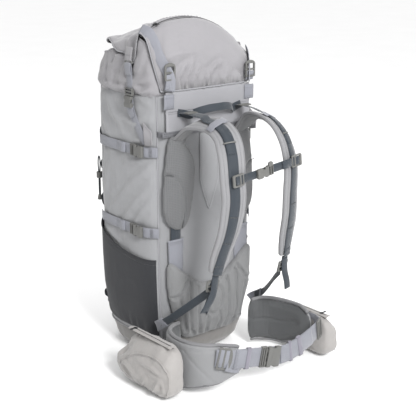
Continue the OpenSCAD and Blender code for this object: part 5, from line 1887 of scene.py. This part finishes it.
def hip_zips():
    """Zip tracks over the tops of the hip pockets, their garages, sliders and cord pulls."""
    tracks, tapes, garages = [], [], []
    for name, side in SIDES:
        low, high = POCKETS[name]
        x = (low[0] + high[0]) / 2
        z = high[2]
        y0, y1 = low[1] + 22, high[1] - 22
        line = mm([[x, y, z + 0.9] for y in np.linspace(y0 - 4, y1 + 4, 24)])
        for edge in (-1, 1):
            fold = line + mm([edge * 5.6, 0, 0.4])
            tapes.append(ribbon(fold, (1, 0, -0.25 * edge), 0.0085, thickness=0.0016))
        tracks.append(ribbon(line, (1, 0, 0), 0.0042, thickness=0.0018, spacing=0.003))
        for end in (y0 - 3, y1 + 3):
            patch = mm([[x - 9, end, z - 0.6], [x, end, z + 2.2], [x + 9, end, z - 0.6]])
            garages.append(ribbon(smooth(patch, 5), (0, 1, 0), 0.010, thickness=0.0014))
        start = -336 if side > 0 else -155
        pull = zip_pull()
        if side < 0:
            pull = moved(pull, Matrix.Rotation(math.pi, 4, "Z"))
        pull = moved(pull, place_matrix(x, start, z + 0.1 + ZIP_TOP))
        piece(f"hip_zip_pull_{name}_hardware", pull, BLACK, f"pocket_slider_{name}",
              [f"hip_zip_slider_{name}"])
    piece("hip_zip_tape", merged(tapes), (POUCHCLOTH[0], "zip"), nodes=["hip_zips"])
    piece("hip_zip_coil", merged(tracks), COIL)
    piece("hip_zip_garages", merged(garages), (POUCHCLOTH[0], "zip"))


HIP_Z = 79
HIP_Y = -382
HIP_MOUTH = -16
HIP_W = 48
HIP_TILT = 12
HIP_LEFT = [[-11, 382, 78], [25, 382, 70.3], [52, 382, 68], [96, 381, 75], [150, 376, 89], [180, 366, 96],
            [193, 347, 98]]


def belt_matrix(origin, tilt):
    """Frame on the belt, tilted in degrees: X along it to the wearer's left, Z away from the belly."""
    a = math.radians(tilt)
    along, up = (math.cos(a), 0, -math.sin(a)), (math.sin(a), 0, math.cos(a))
    return axes_matrix(origin, along, up, (0, -1, 0))


def d_link(w, length, thick, bar):
    """Ladder lock with a round lip towards the buckle: X up, Y along the belt."""
    slot = (length - 3 * bar) / 2 - 2
    flat = -length / 2
    lip = [(w / 2 * math.cos(t), length / 2 - 10 + 10 * math.sin(t)) for t in np.linspace(0, np.pi, 17)]
    outline = [(w / 2 - 2, flat), (w / 2, flat + 2)] + lip + [(-w / 2, flat + 2), (-w / 2 + 2, flat)]
    holes = [rounded(0, flat + bar + slot / 2, w - 2 * bar, slot, 1.5),
             rounded(0, flat + 2 * bar + 1.5 * slot, w - 2 * bar, slot, 1.5)]
    rib = rounded(0, flat + 1.5 * bar + slot, w - 12, 2.2, 1)
    return merged([moulding([outline] + holes, -thick / 2, thick / 2, 1.2),
                   moulding([rib], thick / 2 - 0.5, thick / 2 + 0.8, 0.5)])


def ladder_matrix(x, y, z, turned, tilt, flip):
    """Ladder lock on the belt: its local X up, Y towards the buckle, Z away from the wearer."""
    turning = Matrix.Rotation(math.radians(turned), 3, "Z") @ Matrix.Rotation(math.radians(tilt), 3, "Y")
    along = np.array(turning @ Vector((flip, 0, 0)))
    up = np.array(turning @ Vector((0, 0, 1)))
    return axes_matrix((x, y, z), up, along, np.cross(up, along))


KEEPERS = ((-76, -383.6, 92, 12, 3.4, 13), (98, -382.6, 75.6, -12, 3.6, 13),
           (66, -382.6, 70, -6, 3.0, 9))


def hip_webbing():
    """Belt webbing, its doubled ends, elastic keepers, ladder locks and the wide buckle."""
    up = (0, 0, 1)
    left = smooth(np.array(HIP_LEFT) * [1, -1, 1], 6)
    piece("hip_webbing_left_run", ribbon(left / 1000, up, 0.048), LILAC, nodes=["hip_webbing_left"])
    m = belt_matrix((HIP_MOUTH, HIP_Y + WEB_Z, HIP_Z), HIP_TILT)
    runs = [moved(ribbon(mm([[-103, 0, WEB_Z], [-4, 0, WEB_Z]]), (0, 1, 0), 0.048), m)]
    wrap = smooth([[-116, -382, 100], [-127, -379, 102], [-138, -373.5, 104], [-147, -368, 105.5],
                   [-156, -360, 107]], 5)
    runs.append(ribbon(wrap / 1000, up, 0.046))
    double = smooth([[-58, 0, WEB_Z + 2], [-70, 0, WEB_Z + 3.2], [-88, 0, WEB_Z + 2.4],
                     [-102, 0, WEB_Z + 1.9]], 5)
    runs.append(moved(ribbon(double / 1000, (0, 1, 0), 0.047), m))
    piece("hip_webbing_right_run", merged(runs), LILAC, nodes=["hip_webbing_right"])
    tail = smooth([[32, -384.4, 69.3], [70, -385.0, 70.5], [110, -383.4, 79], [146, -379.4, 88]], 5)
    outer = smooth([[186, -366, 96], [196, -350, 97], [201, -328, 96], [200, -300, 94]], 6)
    under = smooth([[-132, -377.6, 95], [-120, -378.8, 89], [-108, -379.4, 84], [-96, -379.6, 81]], 5)
    tails = [ribbon(tail / 1000, up, 0.047), ribbon(outer / 1000, up, 0.044),
             ribbon(under / 1000, up, 0.043)]
    piece("hip_webbing_tails", merged(tails), LILAC)
    keepers = []
    for x, y, z, tilt, half_t, width in KEEPERS:
        h = HIP_W / 2 + 1.2
        band = [[0, h * 0.98, half_t], [0, 0, half_t], [0, -h * 0.98, half_t], [0, -h - 0.8, 0],
                [0, -h * 0.98, -half_t], [0, 0, -half_t], [0, h * 0.98, -half_t], [0, h + 0.8, 0],
                [0, h * 0.9, half_t]]
        loop = ribbon(smooth(band, 4) / 1000, (1, 0, 0), width / 1000, thickness=0.0012, spacing=0.003)
        keepers.append(moved(loop, belt_matrix((x, y, z), tilt)))
    piece("hip_keepers", merged(keepers), MAUVE)
    socket = moved(socket_shape(w=HIP_W, length=42, depth=26), m)
    piece("hip_socket_hardware", socket, HARDWARE, nodes=["hip_socket"])
    piece("hip_plug_hardware", moved(plug_shape(w=HIP_W, depth=26), m), HARDWARE, "hip_plug", ["hip_plug"])
    near = d_link(w=56, length=36, thick=4, bar=5)
    near = moved(near, ladder_matrix(-138, -373, 104, turned=-28, tilt=12, flip=1))
    far = link_shape(w=56, length=26, thick=4, bar=5)
    far = moved(far, ladder_matrix(179, -372, 96, turned=24, tilt=-13, flip=-1))
    piece("hip_ladder_locks_hardware", merged([near, far]), HARDWARE, nodes=["hip_ladder_locks"])
    stitches = []
    for x in (-62, -66, -96, -100):
        row = mm([[x, -21, WEB_Z + 4.2], [x, 21, WEB_Z + 4.2]])
        stitches.append(moved(dashes(row, (0, 0, 1)), m))
    piece("hip_stitching", merged(stitches), THREAD)


# ---------------------------------------------------------------- lid

LID_OUT = 0.003
LID_POWER = 4
LID_TOP = 874
LID_EDGE = 782
LID_REAR_EDGE = 706
RIGHT_EDGE = [[-30, 42], [-22.5, 56], [-15, 54], [-7.5, -14], [0, 8], [18, 32], [45, 18], [90, 0]]
LEFT_EDGE = [[-30, -40], [0, -24], [45, -4], [90, 0]]
NOTCH_TURN = -30
REAR_TURN = -52.5
LID_DROP = [[-160, 0], [-90, 0], [-70, 4], [0, 18], [40, 32], [110, 53], [160, 63]]
CORNER_FALL = [[-165, 20], [-130, 17], [-90, 11], [-40, 3], [0, 0], [165, 0]]
LID_FALL = [[-165, 30], [-130, 11], [-90, 0], [0, 0], [50, 16], [85, 36], [121, 58], [165, 84]]
FALL_SHARE = [[-60, 1], [80, 0.25]]
ZIP_CENTRE = (-43, 634)
ZIP_R = 238
ZIP_Y = -100
ZIP_FROM = -20
LID_FOLD_GAIN = 2.2
GATHER_PITCH = 0.011


def lid_rim(angle):
    t = turn(angle)
    right = np.cos(np.radians(angle)) < 0
    down = np.clip((t - NOTCH_TURN) / (REAR_TURN - NOTCH_TURN), 0, 1)
    edge = LID_EDGE + np.where(right, soft_lookup(t, RIGHT_EDGE), soft_lookup(t, LEFT_EDGE))
    return edge + (LID_REAR_EDGE - edge) * down


def zip_height(x):
    """Height of the arc that the zip follows, in mm."""
    return ZIP_CENTRE[1] + np.sqrt(np.maximum(0, (ZIP_R - 1.5) ** 2 - (x - ZIP_CENTRE[0]) ** 2))


def lid_surface(s, angle, out=0.0):
    """Point of the lid at share s of the way from crown to rim, in metres."""
    s, angle = np.broadcast_arrays(np.asarray(s, float), np.asarray(angle, float))
    base = bag_point(0.700, angle, LID_OUT + out) * 1000
    narrow = 1 - 0.125 * front_right(angle) * ease(s, 0.3, 1.0)
    x, y, low = base[..., 0] * s * narrow, base[..., 1] * s * narrow, lid_rim(angle)
    high = LID_TOP - soft_lookup(y, LID_DROP) - soft_lookup(x, LID_FALL) * lookup(y, FALL_SHARE)
    high = high - soft_lookup(x, CORNER_FALL) * ease(y, -92, -30)
    z = low + np.maximum(8, high - low) * np.maximum(0, 1 - s**LID_POWER) ** (1 / LID_POWER)
    span = ease(x, -150, -118) * (1 - ease(x, 126, 150))
    toward = np.exp(-(((y - ZIP_Y) / 26) ** 2)) * span * ease(1 - s, 0.02, 0.2)
    z = z + (zip_height(x) - z) * toward * 0.92
    return np.stack([x, y, z + out * 1000], axis=-1) / 1000


LID_FOLDS = [
    ([[-112, -150, 712], [-98, -151, 728], [-84, -151, 750]], 5, 6.0),
    ([[-66, -151, 712], [-76, -151, 732], [-62, -151, 756], [-50, -150, 776]], 5, 7.5),
    ([[-44, -151, 712], [-52, -151, 734], [-34, -151, 756]], 5, 6.0),
    ([[-18, -151, 710], [-6, -151, 736], [14, -151, 756], [36, -150, 764]], 5, 7.0),
    ([[-96, -151, 740], [-80, -151, 760], [-58, -150, 776]], 6, 4.6),
    ([[30, -151, 710], [40, -151, 728], [62, -151, 740]], 5, 5.4),
    ([[66, -151, 712], [78, -151, 724], [98, -150, 730]], 5, 6.0),
    ([[104, -148, 708], [96, -150, 724], [82, -151, 738]], 5, 5.0),
    ([[-30, -151, 718], [-16, -151, 742], [-2, -151, 752]], 4, 4.4),
    ([[-130, -140, 722], [-112, -148, 736], [-100, -150, 752]], 6, 4.0),
    ([[-120, -140, 786], [-90, -144, 794], [-50, -146, 790]], 10, 2.4),
    ([[-150, 60, 818], [-135, 20, 838], [-120, -30, 852]], 9, 3.0),
    ([[-160, -54, 782], [-148, -30, 820], [-120, -10, 852]], 9, 3.0),
    ([[-60, 20, 850], [-90, -10, 852], [-120, -60, 850]], 10, 3.0),
]


def lid():
    """Floating lid: domed, with a gathered rear edge, a pointed side flap and a ridge by the zip."""
    rows, cols = 86, 300
    angles = even_angles(-180, 180, cols + 1)[:-1]
    s = np.sin(np.pi / 2 * np.linspace(0.015, 1, rows))[:, None]
    points = lid_surface(s, angles[None])[::-1]
    normal = grid_normals(points, wrap=True)
    x, y, z = points[..., 0] * 1000, points[..., 1] * 1000, points[..., 2] * 1000
    behind = ease(-y, 118, 142)
    around = np.cumsum(np.linalg.norm(np.diff(points[0], axis=0, append=points[:1, 0]), axis=1))[None]
    tucks = np.sin(around * 2 * np.pi / GATHER_PITCH + 2 * np.sin(around * 50))
    gather = 1.5 * tucks * (1 - ease(z, 712, 738)) * behind
    ridge_y = y - (ZIP_Y + 13)
    ripple = 1 + 0.35 * np.sin(x * 2 * np.pi / 9) + 0.2 * np.sin(x * 2 * np.pi / 5.3 + 1)
    ridge = 3.4 * np.exp(-((ridge_y / 6.5) ** 2)) * ripple * ease(x, -160, -130) * (1 - ease(x, 120, 150))
    groove = -1.4 * np.exp(-(((y - ZIP_Y) / 4.5) ** 2)) * ease(x, -150, -120) * (1 - ease(x, 112, 135))
    above = ease(z, 790, 830)
    rough = crumple(points * [1, 1, 0.7], size=0.06, seed=91) * 2.4
    rough = rough + crumple(points, size=0.026, seed=93) * 0.9
    rough = rough * (0.35 + 0.65 * (1 - behind) + 0.8 * behind * (1 - ease(z, 735, 775)))
    belly = 4.0 * np.sin(np.pi * np.clip((z - 706) / 150, 0, 1)) * behind
    lift = gather + (ridge + groove) * above + rough + belly
    lift = lift / 1000 + fold_height(points, LID_FOLDS) * LID_FOLD_GAIN
    points = points + normal * lift[..., None]
    piece("lid_cloth", grid(points, wrap=True), LIDCLOTH, "lid", ["lid_shell"], thick=0.0022)
    top = points[-1]
    centre = top.mean(0)
    cap = np.array([top, centre + (top - centre) * 0.5, centre + (top - centre) * 0.02])
    piece("lid_crown", grid(cap, wrap=True), LIDCLOTH, "lid")
    piece("lid_binding", ring(points[0], 0.0022), YOKECLOTH, "lid")


def lid_zip():
    """Zip over the crown: tape, coil, slider and pull."""
    a = np.radians(np.linspace(ZIP_FROM - 9, 50, 90))
    x, z = ZIP_CENTRE[0] + (ZIP_R + 0.2) * np.sin(a), ZIP_CENTRE[1] + (ZIP_R + 0.2) * np.cos(a)
    line = np.stack([x, np.full_like(x, ZIP_Y), z], axis=1) / 1000
    tape = ribbon(line - [0, 0, 0.0006], (0, 1, 0), 0.0075, thickness=0.0012)
    piece("lid_zip_tape", tape, (LIDCLOTH[0], "zip"), "lid", ["lid_zip"])
    piece("lid_zip_coil", ribbon(line, (0, 1, 0), 0.004, thickness=0.0026, spacing=0.003), COIL, "lid")
    place = place_matrix(ZIP_CENTRE[0], ZIP_Y, ZIP_CENTRE[1])
    place = place @ Matrix.Rotation(math.radians(ZIP_FROM), 4, "Y")
    place = place @ Matrix.Translation((0, 0, (ZIP_R + 1.6) / 1000))
    place = place @ Matrix.Rotation(-math.pi / 2, 4, "Z")
    piece("lid_zip_pull_hardware", moved(zip_pull(), place), BLACK, "lid_slider", ["lid_zip_slider"])


LID_FRONT_Y = -56
LID_MOUTH_Z = 690
CORNER_STRAP_X = 126
CORNER_STEPS = ((0.985, -50), (0.97, -44), (0.955, -37), (0.95, -30), (0.95, -24), (0.955, -18))


def lid_front_matrix(side):
    return axes_matrix((side * 168, LID_FRONT_Y, LID_MOUTH_Z), (0, 0, -1), (0, side, 0), (side, 0, 0))


def lid_straps():
    """Lid straps: on each side a buckled strap from the flap, and behind a strap over each corner."""
    straps, tabs, plugs, locks, stitches, rings = [], [], [], [], [], []
    for _, side in SIDES:
        m = lid_front_matrix(side)
        top = -96 if side < 0 else -84
        run = smooth([[top + 16, 0, 3.8], [top + 22, 0, 5.6], [top + 36, 0, 3.4], [-30, 0, WEB_Z],
                      [-4, 0, WEB_Z]], 5)
        straps.append(moved(ribbon(run / 1000, (0, 1, 0), 0.024), m))
        fold = smooth([[top + 17, 0, 4.6], [top + 20, 0, 8.2], [top + 34, 0, 8.0], [top + 46, 0, 5.8]], 5)
        straps.append(moved(ribbon(fold / 1000, (0, 1, 0), 0.0235), m))
        tab = smooth([[top - 20, 0, 0.4], [top - 8, 0, 3.6], [top + 6, 0, 5.6], [top + 14, 0, 4.0]], 5)
        tabs.append(moved(ribbon(tab / 1000, (0, 1, 0), 0.027, thickness=0.002), m))
        hoop = [[top + 15 + 3.4 * math.sin(t), 14.5 * math.cos(t), 4.4] for t in RING_TURNS]
        rings.append(moved(ring(np.array(hoop) / 1000, 0.0017), m))
        for k in range(4):
            line = mm([[top - 2 + 2 * k, -10, 6.2], [top - 2 + 2 * k, 10, 6.2]])
            stitches.append(moved(dashes(line, (0, 0, 1), length=0.002, gap=0.0006), m))
        plugs.append(moved(plug_shape(w=25, depth=ARM_L), m))
        x = side * CORNER_STRAP_X
        over = [[x, -154.6, 708], [x, -155.4, 742]]
        for s, t in CORNER_STEPS[:6] if side < 0 else CORNER_STEPS[:4]:
            over.append(lid_surface(s, 180 - t if side < 0 else t, 0.0035) * 1000)
        path = smooth(over, 6)
        across = np.cross(headings(path), unit(path - np.array([0, -20, 740])))
        straps.append(ribbon(path / 1000, across, 0.025))
        low = 758 if side < 0 else 744
        locks.append(moved(d_link(w=31, length=42, thick=5, bar=4.5), place_matrix(x, -156.8, low - 4, 90)))
        doubled = smooth([[x, -153.4, 712], [x, -157.4, 728], [x, -157.8, low - 10]], 4)
        straps.append(ribbon(doubled / 1000, (1, 0, 0), 0.024))
    piece("lid_webbing", merged(straps), LILAC, "lid", ["lid_straps"])
    piece("lid_tabs", merged(tabs), LIDCLOTH, "lid")
    piece("lid_rings_hardware", merged(rings), HARDWARE, "lid")
    piece("lid_buckles_hardware", merged(plugs + locks), HARDWARE, "lid", ["lid_buckles"])
    piece("lid_stitching", merged(stitches), THREAD, "lid")


def lid_anchors():
    """What the lid hangs on: a slanted strap and socket on each side, and two sewn tabs on the yoke."""
    straps, sockets, tabs, gussets, stitches = [], [], [], [], []
    x = 165 + 3 + WEB_Z
    for _, side in SIDES:
        run = smooth([[x, -56, 686], [x, -58, 664], [x - 0.8, -70, 636], [x - 3, -92, 604],
                      [x - 5, -108, 580]], 6)
        straps.append(ribbon(mirrored(run, side) / 1000, (0, 1, -0.5), 0.025))
        end = smooth([[x + 2.6, -56, 672], [x + 3.6, -62, 652], [x + 2.6, -70, 640]], 5)
        straps.append(ribbon(mirrored(end, side) / 1000, (0, 1, 0.3), 0.0235))
        sockets.append(moved(socket_shape(w=25, length=28, depth=ARM_L), lid_front_matrix(side)))
        middle = side * CORNER_STRAP_X
        corners = [[169.6, -104, 632], [168.6, -138, 612], [167.2, -136, 580], [169.0, -110, 574]]
        upper, lower = np.linspace(corners[0], corners[1], 9), np.linspace(corners[3], corners[2], 9)
        gussets.append(grid(np.array([mirrored(lower, side), mirrored(upper, side)][::int(-side)]) / 1000))
        rows = []
        for z, out in ((700, 1.2), (696, 3.4), (690, 3.2), (676, 2.8), (668, 2.4), (664, 1.6)):
            f = np.linspace(-1, 1, 9)
            depth = -151.5 - out * (1 - 0.25 * f**4)
            rows.append(np.stack([middle + 15 * f, depth, np.full(9, z)], axis=1))
        tabs.append(grid(np.array(rows[::-1]) / 1000))
        for z in (667, 671, 692):
            line = mm([[middle - 12, -155.2, z], [middle + 12, -155.2, z]])
            stitches.append(dashes(line, (0, -1, 0)))
        for a, b in ((corners[0], corners[1]), (corners[1], corners[2])):
            line = mirrored([np.array(a) + [0.6, 2, -3], np.array(b) + [0.6, 2, -1]], side) / 1000
            stitches.append(dashes(line, (side, 0, 0)))
    piece("lid_anchor_webbing", merged(straps), LILAC, nodes=["lid_anchors"])
    piece("lid_anchor_gussets", merged(gussets), LIDCLOTH, thick=0.0016)
    piece("lid_anchor_tabs", merged(tabs), LILAC, thick=0.0014)
    piece("lid_sockets_hardware", merged(sockets), HARDWARE, nodes=["lid_sockets"])
    piece("lid_anchor_stitching", merged(stitches), THREAD)


# ---------------------------------------------------------------- placing


def hidden_frame():
    """CAD nodes that stay as they are, inside the bag, with their own materials."""
    for node, material in (("framesheet", SHEET_PLASTIC), ("frame_stays", STAY_METAL),
                           ("collar_cord", NAVY[0])):
        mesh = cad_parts[node].data
        mesh.materials.clear()
        mesh.materials.append(material)


FLOOR_HALF = 60.0
FLOOR_Z = -0.0006


def floor():
    mesh = bpy.data.meshes.new("floor")
    corners = [(x * FLOOR_HALF, y * FLOOR_HALF, FLOOR_Z) for x, y in ((-1, -1), (1, -1), (1, 1), (-1, 1))]
    mesh.from_pydata(corners, [], [[0, 1, 2, 3]])
    mesh.materials.append(floor_paint("floor paint"))
    obj = bpy.data.objects.new("floor", mesh)
    bpy.context.scene.collection.objects.link(obj)


add_camera()
add_studio()
floor()
hidden_frame()
packbag()
base()
collar()
for pocket_name, pocket_side in SIDES:
    bottle_pocket(f"bottle_pocket_{pocket_name}", pocket_side)
front_pocket()
daisy_chains()
tool_cords()
bottom_straps()
compression_straps()
yoke()
for pad_name, pad_side in SIDES:
    torso_pad(f"torso_pad_{pad_name}", pad_side)
back_extras()
lumbar()
haul_loop()
for strap_name, strap_side in SIDES:
    shoulder_strap(f"shoulder_strap_{strap_name}", strap_side)
strap_trim()
adjusters()
lower_webbing()
sternum_strap()
for wing_name, wing_side in SIDES:
    hip_wing(wing_name)
    hip_pocket(wing_name, wing_side)
hip_zips()
hip_webbing()
lid()
lid_zip()
lid_straps()
lid_anchors()
